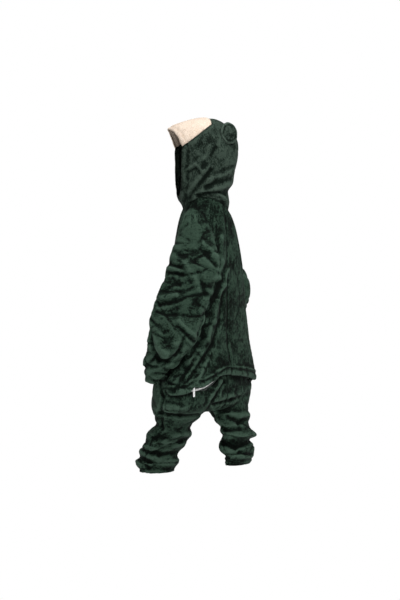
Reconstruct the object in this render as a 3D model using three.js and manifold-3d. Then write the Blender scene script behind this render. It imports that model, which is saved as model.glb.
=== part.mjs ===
// A child's hooded animal onesie of dark green plush, in its worn shape and empty.
// Millimetres, +Z up. The front faces -Y and the wearer's left is +X. The origin is the middle
// of the neck seam, level with the top of the shoulders.

import * as THREE from "three";
import { mergeVertices } from "three/addons/utils/BufferGeometryUtils.js";
import Module from "manifold-3d";

const wasm = await Module();
wasm.setup();
const { Manifold, Mesh } = wasm;

// Driving sizes
const CLOTH = 2.4; // thickness of the plush, pile and all
const SEAM = 0.3; // gap between two panels at a seam
const ROUND_BODY = 26; // points round the body
const ROUND_LIMB = 12; // points round a sleeve or a leg
const ROUND_HOOD = 20; // points round the hood
const HOOD_YAW = -45; // degrees: the way the hood faces, seen from above, 0 is +X
const PLUSH = { color: 0x1c2a20, roughness: 0.85, metalness: 0 };
const CREAM = { color: 0xe8dccb, roughness: 0.85, metalness: 0 };
const TAPE = { color: 0x16201a, roughness: 0.8, metalness: 0 };
const STEEL = { color: 0xb9bcbf, roughness: 0.3, metalness: 1 };

const rad = (degrees) => (degrees * Math.PI) / 180;
const power = (v, e) => Math.sign(v) * Math.abs(v) ** e;
const bump = (v, width) => Math.exp(-((v / width) ** 2));

// Turns a table with named columns into a list of rows.
function table(columns, rows) {
  return rows.map((row) => Object.fromEntries(columns.map((c, i) => [c, row[i]])));
}

// A value read from a table between its rows, along the column "at".
function between(rows, at, v, column) {
  const down = rows[0][at] > rows[rows.length - 1][at];
  const list = down ? [...rows].reverse() : rows;
  if (v <= list[0][at]) return list[0][column];
  for (let i = 1; i < list.length; i++) {
    if (v <= list[i][at]) {
      const t = (v - list[i - 1][at]) / (list[i][at] - list[i - 1][at]);
      return list[i - 1][column] * (1 - t) + list[i][column] * t;
    }
  }
  return list[list.length - 1][column];
}

// A closed solid through rings of points. The ends are closed flat, or by the last ring
// meeting the first when loop is true, which gives a hollow tube.
function loft(rings, loop = false) {
  const n = rings[0].length;
  const points = rings.flat();
  const faces = [];
  const spans = loop ? rings.length : rings.length - 1;
  for (let r = 0; r < spans; r++) {
    const a = r * n;
    const b = ((r + 1) % rings.length) * n;
    for (let i = 0; i < n; i++) {
      const j = (i + 1) % n;
      faces.push([a + i, a + j, b + j], [a + i, b + j, b + i]);
    }
  }
  if (!loop) {
    for (const [ring, turn] of [
      [0, false],
      [rings.length - 1, true],
    ]) {
      const middle = [0, 1, 2].map((k) => rings[ring].reduce((s, p) => s + p[k], 0) / n);
      const centre = points.push(middle) - 1;
      for (let i = 0; i < n; i++) {
        const j = (i + 1) % n;
        const f = [centre, ring * n + j, ring * n + i];
        faces.push(turn ? f.reverse() : f);
      }
    }
  }
  return solid(points, faces);
}

// A manifold from points and triangles, turned to face outward.
function solid(points, faces) {
  let volume = 0;
  for (const [a, b, c] of faces) {
    const [p, q, r] = [points[a], points[b], points[c]];
    volume += p[0] * (q[1] * r[2] - q[2] * r[1]);
    volume += p[1] * (q[2] * r[0] - q[0] * r[2]);
    volume += p[2] * (q[0] * r[1] - q[1] * r[0]);
  }
  const list = volume < 0 ? faces.map((f) => [f[0], f[2], f[1]]) : faces;
  return new Manifold(
    new Mesh({
      numProp: 3,
      vertProperties: Float32Array.from(points.flat()),
      triVerts: Uint32Array.from(list.flat()),
    }),
  );
}

// A manifold from a closed three.js geometry.
function fromGeometry(geometry) {
  const merged = mergeVertices(geometry);
  return new Manifold(
    new Mesh({
      numProp: 3,
      vertProperties: Float32Array.from(merged.attributes.position.array),
      triVerts: Uint32Array.from(merged.index.array),
    }),
  );
}

// A box from its two corners.
function block(low, high) {
  const ring = (z) => [
    [low[0], low[1], z],
    [high[0], low[1], z],
    [high[0], high[1], z],
    [low[0], high[1], z],
  ];
  return loft([ring(low[2]), ring(high[2])]);
}

// The neck seam: high on the left of the back, lower at the throat and the nape.
const NECK = { low: -14, rise: 34, toward: 34, spread: 55 };
function neckHeight(x, y) {
  let turn = (Math.atan2(y, x) * 180) / Math.PI - NECK.toward;
  if (turn < -180) turn += 360;
  return NECK.low + NECK.rise * bump(turn, NECK.spread);
}

// The body, from the neck down to the crotch: half widths to the wearer's left and right,
// depths to the back and the front, and how square the section is.
const BODY = table(
  ["z", "left", "right", "back", "front", "square"],
  [
    [0, 70, 70, 64, 60, 2.0],
    [-22, 86, 90, 67, 60, 2.0],
    [-45, 100, 104, 71, 60, 2.1],
    [-100, 109, 124, 76, 67, 2.3],
    [-183, 113, 150, 77, 86, 2.4],
    [-235, 117, 160, 77, 93, 2.4],
    [-285, 124, 170, 77, 99, 2.4],
    [-391, 150, 192, 78, 106, 2.4],
    [-440, 163, 198, 79, 108, 2.5],
    [-480, 180, 202, 80, 108, 2.5],
    [-515, 192, 203, 81, 108, 2.5],
    [-552, 197, 202, 81, 108, 2.4],
    [-580, 193, 197, 67, 102, 2.3],
    [-590, 180, 184, 50, 90, 2.2],
  ],
);

// Large folds of the body: soft ridges and troughs along a straight run on the back, from
// (turn, z) to (turn, z), turn being degrees from the left side round the back.
const BODY_FOLDS = table(
  ["turn0", "z0", "turn1", "z1", "height", "width"],
  [
    [60, -70, 62, -190, 7, 20],
    [62, -190, 52, -330, 8, 20],
    [70, -185, 60, -330, 7, 15],
    [52, -330, 18, -470, 9, 22],
    [48, -200, 30, -400, -7, 20],
    [112, -250, 104, -420, 4, 24],
    [138, -200, 126, -440, 5, 22],
    [-90, -60, -90, -500, -3, 26],
    [-50, -150, -60, -430, 5, 30],
    [-130, -150, -118, -430, 5, 30],
  ],
);

function foldHeight(folds, turn, z, reach) {
  let sum = 0;
  for (const f of folds) {
    const ax = (f.turn0 / 180) * Math.PI * reach;
    const bx = (f.turn1 / 180) * Math.PI * reach;
    const px = (turn / 180) * Math.PI * reach;
    const dx = bx - ax;
    const dz = f.z1 - f.z0;
    const t = Math.max(0, Math.min(1, ((px - ax) * dx + (z - f.z0) * dz) / (dx * dx + dz * dz)));
    const away = Math.hypot(px - ax - t * dx, z - f.z0 - t * dz);
    sum += f.height * bump(away, f.width);
  }
  return sum;
}

// One ring of the body at a height, moved out by a distance. shape(turn) may lower it.
function bodyRing(z, away, lower = () => 0, swell = (v) => v) {
  const ring = [];
  for (let i = 0; i < ROUND_BODY; i++) {
    const turn = ((i + 0.5) / ROUND_BODY) * 360 - 180;
    const height = z + lower(turn);
    const out = swell(away, turn);
    const c = Math.cos(rad(turn));
    const s = Math.sin(rad(turn));
    const fold = foldHeight(BODY_FOLDS, turn, height, 120);
    const half = between(BODY, "z", height, c > 0 ? "left" : "right") + out + fold;
    const deep = between(BODY, "z", height, s > 0 ? "back" : "front") + out + fold;
    const e = 2 / between(BODY, "z", height, "square");
    const x = half * power(c, e);
    const y = deep * power(s, e);
    const neck = height > -1 ? 1 : height > -23 ? 0.35 : 0;
    ring.push([x, y, height + neck * neckHeight(x, y)]);
  }
  return ring;
}

// The upper back hangs over the seat as a blouse. Its rows give how far it stands off the
// body, then the soft roll under its edge, whose height round the back follows HEM.
const BLOUSE = table(
  ["z", "out", "wall"],
  [
    [-391, 0, 0],
    [-440, 3, 0],
    [-480, 8, 0],
    [-518, 14.5, 0],
    [-530, 13.5, 0],
    [-533.6, 8, 0],
    [-527, 2.4, 0],
    [-506, -2.4, 0],
  ],
);
const ROLL_INSIDE = table(
  ["z", "out", "wall"],
  [
    [-506, -2.4, 2.4],
    [-525, 2.4, 2.3],
    [-530.8, 8, 0.6],
    [-529, 13.5, -2.2],
  ],
);
const HEM = table(
  ["turn", "drop"],
  [
    [-180, 16],
    [0, -6],
    [30, -2],
    [38, 2],
    [44, 17],
    [56, 15],
    [64, 22],
    [72, 30],
    [84, 44],
    [95, 40],
    [112, 32],
    [132, 20],
    [180, 16],
  ],
);
const hem = (turn) => between(HEM, "turn", turn, "drop");
// The blouse stands out fully at the back and less toward the side seams.
const blouseOut = (out, turn) =>
  out > 0 ? out * (0.55 + 0.45 * Math.max(0, Math.sin(rad(turn)))) : out;
const blouseDrop = (z) => (turn) => hem(turn) * Math.max(0, Math.min(1, (-z - 391) / 110));

// The seat zip's line, level at the left and hidden under the edge at the right.
const ZIP_LINE = table(
  ["turn", "z"],
  [
    [-180, -503],
    [0, -524],
    [30, -524],
    [44, -526],
    [56, -521],
    [64, -515],
    [72, -503],
    [84, -478],
    [95, -480],
    [112, -488],
    [132, -500],
    [180, -503],
  ],
);
const zipZ = (turn) => between(ZIP_LINE, "turn", turn, "z");

// Legs: the middle of each ring, its half width and half depth.
const LEG = ["z", "x", "y", "wide", "deep"];
const LEG_LEFT = table(LEG, [
  [-532, 100, -14, 88, 80],
  [-562, 99, -19, 90, 78],
  [-582, 96, -27, 87, 67],
  [-600, 93, -32, 80, 58],
  [-625, 93, -38, 72, 49],
  [-640, 93, -52, 74, 51],
  [-658, 94, -61, 77, 56],
  [-672, 95, -67, 73, 54],
  [-687, 96, -75, 77, 59],
  [-701, 97, -83, 76, 59],
  [-716, 97, -91, 69, 52],
  [-728, 97, -98, 69, 52],
  [-740, 97, -100, 76, 57],
  [-752, 96, -106, 69, 52],
  [-770, 95, -104, 63, 47],
]);
const LEG_RIGHT = table(LEG, [
  [-532, -101, -12, 90, 82],
  [-562, -100, -4, 91, 74],
  [-582, -96, 14, 87, 56],
  [-600, -93, 26, 78, 44],
  [-616, -93, 33, 74, 42],
  [-635, -93, 39, 67, 38],
  [-649, -93, 46, 64, 36],
  [-661, -93, 54, 70, 41],
  [-675, -93, 58, 69, 41],
  [-690, -92, 41, 62, 34],
  [-706, -92, 49, 68, 37],
  [-718, -92, 56, 68, 38],
  [-731, -92, 62, 62, 33],
  [-742, -91, 58, 60, 32],
  [-758, -90, 54, 52, 28],
]);

function legRings(rows, out, floor) {
  return rows.map((row, k) => {
    const ring = [];
    const z = k === rows.length - 1 ? row.z + floor : row.z;
    for (let i = 0; i < ROUND_LIMB; i++) {
      const t = ((i + 0.5) / ROUND_LIMB) * 2 * Math.PI;
      const wave = k > 3 ? 2.5 * Math.sin(2 * t + k * 2.1) : 0;
      const tilt = k > 4 && k < rows.length - 2 ? 5 * Math.sin(t + k * 1.9) : 0;
      const x = row.x + (row.wide + out + wave) * Math.cos(t);
      const y = row.y + (row.deep + out + wave) * Math.sin(t);
      ring.push([x, y, z + tilt]);
    }
    return ring;
  });
}

// Sleeves: the middle of each ring, its half width along the back-to-front slant, its half
// depth across that, from the shoulder to the open end.
const SLEEVE = ["x", "y", "z", "wide", "deep"];
const SLEEVE_LEFT = table(SLEEVE, [
  [66, 6, -24, 22, 24],
  [88, 20, -58, 44, 36],
  [102, 34, -98, 57, 42],
  [122, 46, -137, 68, 43],
  [139, 52, -183, 74, 42],
  [158, 45, -233, 71, 40],
  [170, 36, -275, 73, 41],
  [182, 30, -318, 76, 42],
  [198, 28, -352, 74, 42],
  [211, 20, -391, 68, 40],
  [214, 6, -420, 60, 36],
  [219, -8, -442, 50, 34],
  [223, -14, -462, 40, 31],
  [225, -14, -486, 36, 27],
  [222, -22, -510, 29, 23],
]);
const SLEEVE_RIGHT = table(SLEEVE, [
  [-66, 2, -24, 22, 24],
  [-92, -4, -56, 40, 34],
  [-114, -14, -98, 49, 40],
  [-138, -24, -140, 50, 44],
  [-164, -28, -186, 50, 44],
  [-190, -21, -230, 48, 44],
  [-204, -27, -266, 46, 42],
  [-214, -48, -294, 44, 40],
  [-220, -82, -318, 43, 38],
  [-219, -112, -342, 42, 36],
  [-214, -138, -366, 37, 33],
  [-208, -154, -384, 30, 27],
]);

// Rings square to the line of a sleeve, slant being the level direction of their width.
function sleeveRings(rows, slant, out, trim = 0) {
  const path = rows.map((r) => new THREE.Vector3(r.x, r.y, r.z));
  return rows.map((row, k) => {
    const before = path[Math.max(0, k - 1)];
    const after = path[Math.min(path.length - 1, k + 1)];
    const along = after.clone().sub(before).normalize();
    const side = slant.clone().addScaledVector(along, -slant.dot(along)).normalize();
    const deep = new THREE.Vector3().crossVectors(along, side);
    const middle = path[k].clone();
    if (k === rows.length - 1) middle.addScaledVector(along, trim);
    const ring = [];
    for (let i = 0; i < ROUND_LIMB; i++) {
      const t = ((i + 0.5) / ROUND_LIMB) * 2 * Math.PI;
      const wave = k > 1 && k < rows.length - 1 ? 3 * Math.sin(2 * t + k * 2.3) : 0;
      const p = middle.clone();
      p.addScaledVector(side, (row.wide + out + wave) * Math.cos(t));
      p.addScaledVector(deep, (row.deep + out + wave) * Math.sin(t));
      ring.push(p.toArray());
    }
    return ring;
  });
}

// The hood, in its own directions: reach to its face side and to its back, and half width.
const HOOD = table(
  ["z", "face", "nape", "wide"],
  [
    [12, 72, 70, 72],
    [26, 80, 68, 76],
    [38, 86, 64, 76],
    [60, 92, 80, 81],
    [84, 96, 84, 84],
    [107, 98, 89, 86],
    [130, 101, 94, 87],
    [165, 106, 97, 86],
    [190, 113, 93, 80],
    [210, 113, 82, 71],
    [228, 104, 66, 58],
    [241, 74, 47, 42],
    [250, 34, 26, 22],
  ],
);

// Hood folds: ridges along a run from (turn, z) to (turn, z), turn from the way it faces.
const HOOD_FOLDS = table(
  ["turn0", "z0", "turn1", "z1", "height", "width"],
  [
    [48, 20, 108, 98, -5, 11],
    [112, 44, 172, 76, -5, 10],
    [60, 84, 84, 104, 3, 12],
    [150, 20, 210, 16, 5, 12],
    [-48, 20, -104, 90, -5, 11],
    [92, 130, 110, 165, -3, 10],
  ],
);

function hoodRing(row, out) {
  const ring = [];
  for (let i = 0; i < ROUND_HOOD; i++) {
    const t = (i / ROUND_HOOD) * 360 - 180;
    const c = Math.cos(rad(t));
    const s = Math.sin(rad(t));
    const turn = t < -100 ? t + 360 : t;
    const fold = row.z < 235 ? foldHeight(HOOD_FOLDS, turn, row.z, 85) : 0;
    const f = ((c > 0 ? row.face : row.nape) + out + fold) * power(c, 0.95);
    const w = (row.wide + out + fold) * power(s, 0.95);
    const x = f * Math.cos(rad(HOOD_YAW)) - w * Math.sin(rad(HOOD_YAW));
    const y = f * Math.sin(rad(HOOD_YAW)) + w * Math.cos(rad(HOOD_YAW));
    ring.push([x, y, row.z + (row.z < 30 ? neckHeight(x, y) * 0.35 : 0)]);
  }
  return ring;
}

// The ring on the neck seam itself, shared by the body's top edge and the hood's foot.
function neckRing(out, lift) {
  const ring = [];
  for (let i = 0; i < ROUND_HOOD; i++) {
    const t = rad((i / ROUND_HOOD) * 360 - 180 + HOOD_YAW);
    const x = (70 + out) * Math.cos(t);
    const y = ((Math.sin(t) > 0 ? 64 : 60) + out) * Math.sin(t);
    ring.push([x, y, neckHeight(x, y) + lift]);
  }
  return ring;
}

// --- Panels of the body, seat and legs ---
const bodyRows = BODY.map((row) => row.z);
const bodyFull = (out) => loft(bodyRows.map((z) => bodyRing(z, out)));
const legFull = (rows, out, floor) => loft(legRings(rows, out, floor));

const lower = (out, floor) => {
  const legs = legFull(LEG_LEFT, out, floor).add(legFull(LEG_RIGHT, out, floor));
  return bodyFull(out).add(legs);
};
const aboveNeck = loft([neckRing(-CLOTH, -40), neckRing(-CLOTH, 60)]);
const bodyShell = lower(0, 0).subtract(lower(-CLOTH, -4)).subtract(aboveNeck);

const slantLeft = new THREE.Vector3(-0.559, 0.829, 0);
const slantRight = new THREE.Vector3(0.35, 0.94, 0);
const sleeveOuter = {
  left: loft(sleeveRings(SLEEVE_LEFT, slantLeft, 0)),
  right: loft(sleeveRings(SLEEVE_RIGHT, slantRight, 0)),
};
const sleeveInner = {
  left: loft(sleeveRings(SLEEVE_LEFT, slantLeft, -CLOTH, 4)),
  right: loft(sleeveRings(SLEEVE_RIGHT, slantRight, -CLOTH, 4)),
};
const armholes = sleeveInner.left.add(sleeveInner.right);

// The side seam runs down the side of the body and the middle of each leg. A region is what
// lies behind or before it on one side of the centre.
function region(side, back) {
  const gap = SEAM / 2;
  const rows = side > 0 ? LEG_LEFT : LEG_RIGHT;
  const line = [
    [60, -3],
    [-540, -3],
    ...rows.slice(3).map((row) => [row.z, row.y]),
    [-820, rows[rows.length - 1].y],
  ];
  const far = back ? 400 : -400;
  const rings = [side * gap, side * 400].map((x) => [
    ...line.map(([z, y]) => [x, y + (back ? gap : -gap), z]),
    [x, far, -820],
    [x, far, 60],
  ]);
  return prism(rings);
}

// A solid between two like outlines, each flat and square to X, then moved to its place.
function prism(rings, place = (point) => point) {
  const flat = rings[0].map((p) => new THREE.Vector2(p[1], p[2]));
  const facing = Math.sign(THREE.ShapeUtils.area(flat));
  const n = flat.length;
  const faces = [];
  for (const f of THREE.ShapeUtils.triangulateShape(flat, [])) {
    const turned = Math.sign(THREE.ShapeUtils.area(f.map((k) => flat[k])));
    const [a, b, c] = turned === facing ? f : [...f].reverse();
    faces.push([a, b, c], [n + a, n + c, n + b]);
  }
  for (let i = 0; i < n; i++) {
    const j = (i + 1) % n;
    faces.push([j, i, n + j], [i, n + i, n + j]);
  }
  return solid(rings.flat().map(place), faces);
}

const pieces = [];
const keep = (name, shape, look) => pieces.push({ name, shape, look });

// Below the seat zip, the seat and the backs of the legs
const seatEdge = bodyRing(0, 0, (turn) => zipZ(turn) - 5);
const belowZip = loft([
  seatEdge.map(([x, y, z]) => [x * 0.02, y * 0.02, z]),
  seatEdge.map(([x, y, z]) => [x * 3, y * 3, z]),
  seatEdge.map(([x, y]) => [x * 3, y * 3, -830]),
]);
const LEG_CASING = -744; // height of the seam above a leg's casing
const hems = block([-400, -400, -900], [400, 400, LEG_CASING]);
const zipGap = block([-5, -400, -575], [5, 0, 40]);

for (const [name, side] of [
  ["left", 1],
  ["right", -1],
]) {
  const back = region(side, true);
  const front = region(side, false);
  const seat = bodyShell.intersect(back).intersect(belowZip).subtract(hems);
  keep("seat_" + name, seat, PLUSH);
  const chest = bodyShell.intersect(front).subtract(hems).subtract(zipGap);
  keep("front_" + name, chest.subtract(armholes), PLUSH);
}

// The upper back, with its blouse and the roll under its edge
const blouseRows = [
  ...bodyRows.filter((z) => z > -391).map((z) => ({ z, out: 0, wall: 0 })),
  ...BLOUSE,
];
const blouseInner = [
  ...ROLL_INSIDE,
  ...[...blouseRows]
    .reverse()
    .filter((row) => row.z >= -518 && row.out >= 0)
    .map((row) => ({ ...row, wall: -CLOTH })),
];
const blouse = loft(
  [...blouseRows, ...blouseInner].map((row) =>
    bodyRing(row.z, row.wall, blouseDrop(row.z), (wall, turn) => wall + blouseOut(row.out, turn)),
  ),
  true,
);
for (const [name, side] of [
  ["left", 1],
  ["right", -1],
]) {
  keep("back_" + name, blouse.intersect(region(side, true)).subtract(armholes), PLUSH);
}

// Leg casings, cut apart from the legs by a seam
for (const [name, rows] of [
  ["left", LEG_LEFT],
  ["right", LEG_RIGHT],
]) {
  const casing = legFull(rows, 0, 0).subtract(legFull(rows, -CLOTH, -4));
  const below = block([-400, -400, -900], [400, 400, LEG_CASING - SEAM]);
  keep("leg_hem_" + name, casing.intersect(below), PLUSH);
}

// Sleeves, set into the armholes, and the turned casing at each open end
const bodyClear = bodyFull(SEAM);
const LEFT_CASING = -494; // height of the seam above the left casing
const RIGHT_CASING = -141; // how far forward the right casing's seam lies
for (const [name, casing] of [
  ["left", (gap) => block([0, -400, -900], [400, 400, LEFT_CASING - gap])],
  ["right", (gap) => block([-400, -400, -900], [0, RIGHT_CASING - gap, 0])],
]) {
  const sleeve = sleeveOuter[name].subtract(sleeveInner[name]).subtract(bodyClear);
  keep("sleeve_" + name, sleeve.subtract(casing(0)), PLUSH);
  keep("sleeve_hem_" + name, sleeve.intersect(casing(SEAM)), PLUSH);
}

// Hood: two halves and the cream brow, sewn on from the temples to the crown
const hoodFull = (out, foot) =>
  loft([neckRing(out, foot), ...HOOD.map((row) => hoodRing(row, out)), hoodTop(out)]);
function hoodTop(out) {
  return hoodRing({ z: 253 + out, face: 10, nape: 8, wide: 7 }, 0);
}
const hoodShell = hoodFull(0, 0.8).subtract(hoodFull(-CLOTH, -2));

// An outline in the hood's own face direction and height, carried across the hood's width.
function acrossHood(outline, from, to) {
  const c = Math.cos(rad(HOOD_YAW));
  const s = Math.sin(rad(HOOD_YAW));
  const rings = [from, to].map((w) => outline.map(([f, z]) => [w, f, z]));
  return prism(rings, ([w, f, z]) => [f * c - w * s, f * s + w * c, z]);
}

const FACE_EDGE = 73; // how far forward the face opening's edge stands
const BROW_FOOT = 165; // height of the brow's lower corners
const BROW_TIP = [114, 204]; // its middle, in front of the forehead
const BROW_SEAM = [-9, 232]; // where its seam reaches the crown
const faceOpening = acrossHood(
  [
    [FACE_EDGE, 30],
    [FACE_EDGE + 9, -60],
    [300, -60],
    [300, 340],
    BROW_TIP.map((v) => v + 1),
    [FACE_EDGE, BROW_FOOT],
  ],
  -200,
  200,
);
const browSide = (gap) =>
  acrossHood(
    [
      [FACE_EDGE, BROW_FOOT - gap],
      [300, BROW_FOOT - gap - 160],
      [300, 400],
      [BROW_SEAM[0] - 4 - gap, 400],
      [BROW_SEAM[0] - gap, BROW_SEAM[1] - gap],
    ],
    -200,
    200,
  );
const hoodOpen = hoodShell.subtract(faceOpening);
keep("hood_brow", hoodOpen.intersect(browSide(0)), CREAM);
const hoodSides = hoodOpen.subtract(browSide(SEAM));
const half = [
  [-200, -60],
  [300, -60],
  [300, 400],
  [-200, 400],
];
keep("hood_left", hoodSides.intersect(acrossHood(half, SEAM / 2, 200)), PLUSH);
keep("hood_right", hoodSides.intersect(acrossHood(half, -200, -SEAM / 2)), PLUSH);

// Ears: round padded discs at the back of the crown
const EAR = { face: -57, wide: 63, z: 207, radius: 25, tall: 33, thick: 8 };
for (const [name, side] of [
  ["left", 1],
  ["right", -1],
]) {
  const ball = new THREE.SphereGeometry(1, 14, 8);
  ball.deleteAttribute("normal");
  ball.deleteAttribute("uv");
  ball.scale(EAR.radius, EAR.thick, EAR.tall);
  ball.rotateX(side * rad(12));
  ball.rotateZ(side * rad(14));
  ball.translate(EAR.face, side * EAR.wide, EAR.z);
  ball.rotateZ(rad(HOOD_YAW));
  keep("ear_" + name, fromGeometry(ball).subtract(hoodFull(SEAM, 0)), PLUSH);
}

// Zips: tapes inside the edges of the opening, a slider on them and its hanging pull tab
const TAPE_DEEP = 1; // thickness of a zip tape
const TAPE_WIDE = 13; // one side of the front zip
const UNDER = -CLOTH - 0.4; // how far the face of a tape lies in from the outside
const tapeBand = (low, high) =>
  loft(
    [
      [low, UNDER],
      [high, UNDER],
      [high, UNDER - TAPE_DEEP],
      [low, UNDER - TAPE_DEEP],
    ].map(([edge, out]) => bodyRing(0, out, edge)),
    true,
  );
const behind = block([-400, -1, -900], [400, 400, 100]);
const upperTape = tapeBand((t) => zipZ(t) + 0.6, (t) => Math.max(zipZ(t) + 8, hem(t) - 503));
const lowerTape = tapeBand((t) => zipZ(t) - 11, (t) => zipZ(t) - 0.6);
keep("seat_zip_tape_upper", upperTape.intersect(behind), TAPE);
keep("seat_zip_tape_lower", lowerTape.intersect(behind), TAPE);
const frontTape = bodyFull(UNDER).subtract(bodyFull(UNDER - TAPE_DEEP));
const FRONT_ZIP = [-571, -21]; // heights of its two ends
for (const [name, low, high] of [
  ["left", 0.5, TAPE_WIDE],
  ["right", -TAPE_WIDE, -0.5],
]) {
  const strip = block([low, -400, FRONT_ZIP[0]], [high, 0, FRONT_ZIP[1]]);
  keep("front_zip_tape_" + name, frontTape.intersect(strip), TAPE);
}

// The slider in its own directions: X along the cloth, Y out of it, Z up, Y = 0 at the
// cloth's face. The bridge is an arch that the crossbar of the pull tab lies under.
const SLIDER = { half: 4.2, foot: -4.4, head: 7, back: UNDER + 0.4, face: 1.2 };
const BRIDGE = { half: 1, reach: 4.2, bar: 0.8, low: -2.6, high: 4.6 };
const PULL = { half: 3.2, thick: 1.2, bar: 1.2, window: 6.4, open: 1.8, long: 22, y: 2.3, z: 2.4 };

function plateOf(shape, depth) {
  const geometry = new THREE.ExtrudeGeometry(shape, {
    depth,
    bevelEnabled: false,
    curveSegments: 6,
  });
  geometry.deleteAttribute("normal");
  geometry.deleteAttribute("uv");
  return geometry;
}

function sliderShape(place) {
  const { half, foot, head, back, face } = SLIDER;
  const shield = new THREE.Shape();
  shield.moveTo(-half * 0.6, foot);
  shield.lineTo(half * 0.6, foot);
  shield.lineTo(half, foot + 4);
  shield.lineTo(half, head - 3);
  shield.quadraticCurveTo(half, head, 0, head);
  shield.quadraticCurveTo(-half, head, -half, head - 3);
  shield.lineTo(-half, foot + 4);
  const plate = plateOf(shield, face - back).rotateX(Math.PI / 2).translate(0, face, 0);
  const { reach, bar, low, high } = BRIDGE;
  const arch = new THREE.Shape();
  arch.moveTo(face - 0.5, low);
  arch.lineTo(reach, low);
  arch.lineTo(reach, high);
  arch.lineTo(face - 0.5, high);
  arch.lineTo(face - 0.5, high - bar);
  arch.lineTo(reach - bar, high - bar);
  arch.lineTo(reach - bar, low + bar);
  arch.lineTo(face - 0.5, low + bar);
  const bridge = plateOf(arch, 2 * BRIDGE.half);
  bridge.rotateZ(Math.PI / 2).rotateY(Math.PI / 2).translate(-BRIDGE.half, 0, 0);
  return fromGeometry(plate.applyMatrix4(place)).add(fromGeometry(bridge.applyMatrix4(place)));
}

function pullShape(place) {
  const { half, thick, bar, window, open, long, y, z } = PULL;
  const tab = new THREE.Shape();
  tab.moveTo(-half, bar / 2);
  tab.lineTo(-half, -long + half);
  tab.absarc(0, -long + half, half, Math.PI, 2 * Math.PI, false);
  tab.lineTo(half, bar / 2);
  const eye = new THREE.Path();
  eye.moveTo(-open, -bar / 2);
  eye.lineTo(open, -bar / 2);
  eye.lineTo(open, -bar / 2 - window);
  eye.lineTo(-open, -bar / 2 - window);
  tab.holes.push(eye);
  const plate = plateOf(tab, thick).translate(0, 0, -thick / 2);
  return fromGeometry(plate.rotateX(Math.PI / 2).translate(0, y, z).applyMatrix4(place));
}

// A point on the cloth's face, and the way it faces from above, in degrees.
function onBody(turn, z) {
  const at = (t) => {
    const e = 2 / between(BODY, "z", z, "square");
    const c = Math.cos(rad(t));
    const s = Math.sin(rad(t));
    const half = between(BODY, "z", z, c > 0 ? "left" : "right");
    const deep = between(BODY, "z", z, s > 0 ? "back" : "front");
    return new THREE.Vector2(half * power(c, e), deep * power(s, e));
  };
  const run = at(turn + 2).sub(at(turn - 2));
  const { x, y } = at(turn);
  return { x, y, z, faces: (Math.atan2(-run.x, run.y) * 180) / Math.PI };
}

for (const [name, turn, z] of [
  ["seat_zip", 44, -525],
  ["front_zip", -90, -33],
]) {
  const spot = onBody(turn, z);
  const place = new THREE.Matrix4().makeRotationZ(rad(spot.faces - 90));
  place.setPosition(spot.x, spot.y, spot.z);
  keep(name + "_slider", sliderShape(place), STEEL);
  keep(name + "_pull", pullShape(place), STEEL);
}

// The scene graph: one mesh a piece, without the slivers that a cut can leave.
function toGeometry(shape) {
  const mesh = shape.getMesh();
  const geometry = new THREE.BufferGeometry();
  geometry.setAttribute("position", new THREE.BufferAttribute(mesh.vertProperties, 3));
  geometry.setIndex(new THREE.BufferAttribute(mesh.triVerts, 1));
  return geometry;
}

const group = new THREE.Group();
for (const { name, shape, look } of pieces) {
  const bodies = fromGeometry(toGeometry(shape)).decompose();
  bodies.sort((a, b) => b.volume() - a.volume());
  const geometry = toGeometry(bodies[0]);
  geometry.computeVertexNormals();
  const part = new THREE.Mesh(geometry, new THREE.MeshStandardMaterial(look));
  part.name = name;
  group.add(part);
}

export default group;
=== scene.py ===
import math
from itertools import combinations

import bmesh
import bpy
import numpy as np
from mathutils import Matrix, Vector, noise


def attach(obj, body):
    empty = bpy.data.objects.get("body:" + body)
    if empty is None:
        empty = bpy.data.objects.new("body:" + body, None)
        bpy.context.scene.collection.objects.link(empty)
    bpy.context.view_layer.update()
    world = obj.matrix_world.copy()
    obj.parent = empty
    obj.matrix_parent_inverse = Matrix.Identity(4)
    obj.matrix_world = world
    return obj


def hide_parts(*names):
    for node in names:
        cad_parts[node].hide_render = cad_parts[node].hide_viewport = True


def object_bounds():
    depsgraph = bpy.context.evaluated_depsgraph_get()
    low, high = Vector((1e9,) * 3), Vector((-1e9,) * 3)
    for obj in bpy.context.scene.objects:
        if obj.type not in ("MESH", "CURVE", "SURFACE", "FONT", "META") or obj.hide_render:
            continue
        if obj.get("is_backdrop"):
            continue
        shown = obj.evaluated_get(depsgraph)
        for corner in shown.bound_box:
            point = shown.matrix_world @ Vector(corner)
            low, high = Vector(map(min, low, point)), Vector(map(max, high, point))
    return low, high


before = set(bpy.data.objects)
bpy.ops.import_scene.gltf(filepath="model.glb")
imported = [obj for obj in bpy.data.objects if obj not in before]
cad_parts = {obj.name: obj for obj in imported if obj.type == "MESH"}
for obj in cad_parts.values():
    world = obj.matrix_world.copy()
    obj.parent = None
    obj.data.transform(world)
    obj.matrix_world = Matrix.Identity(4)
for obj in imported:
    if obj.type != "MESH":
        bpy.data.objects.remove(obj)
cad_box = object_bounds()

# --- Camera, backdrop and light ---
# The onesie is seen from behind its left side, a little above the hips, through a long lens,
# in front of a white sweep under large soft lamps.
VIEW_FROM = 124.0  # degrees round from the front's line of sight
VIEW_RISE = 1.5
VIEW_MIDDLE = (-0.0145, -0.2755)  # along the picture and up, in metres
VIEW_SPAN = 1.74  # height of the picture at the object
VIEW_AWAY = 5.0


def placed(name, data):
    """An object of a mesh, a lamp or a camera, in the scene."""
    made = bpy.data.objects.new(name, data)
    bpy.context.scene.collection.objects.link(made)
    return made


def material_of(name):
    """A new material, its nodes and its shader."""
    material = bpy.data.materials.new(name)
    material.use_nodes = True
    return material, material.node_tree, material.node_tree.nodes["Principled BSDF"]


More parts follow.
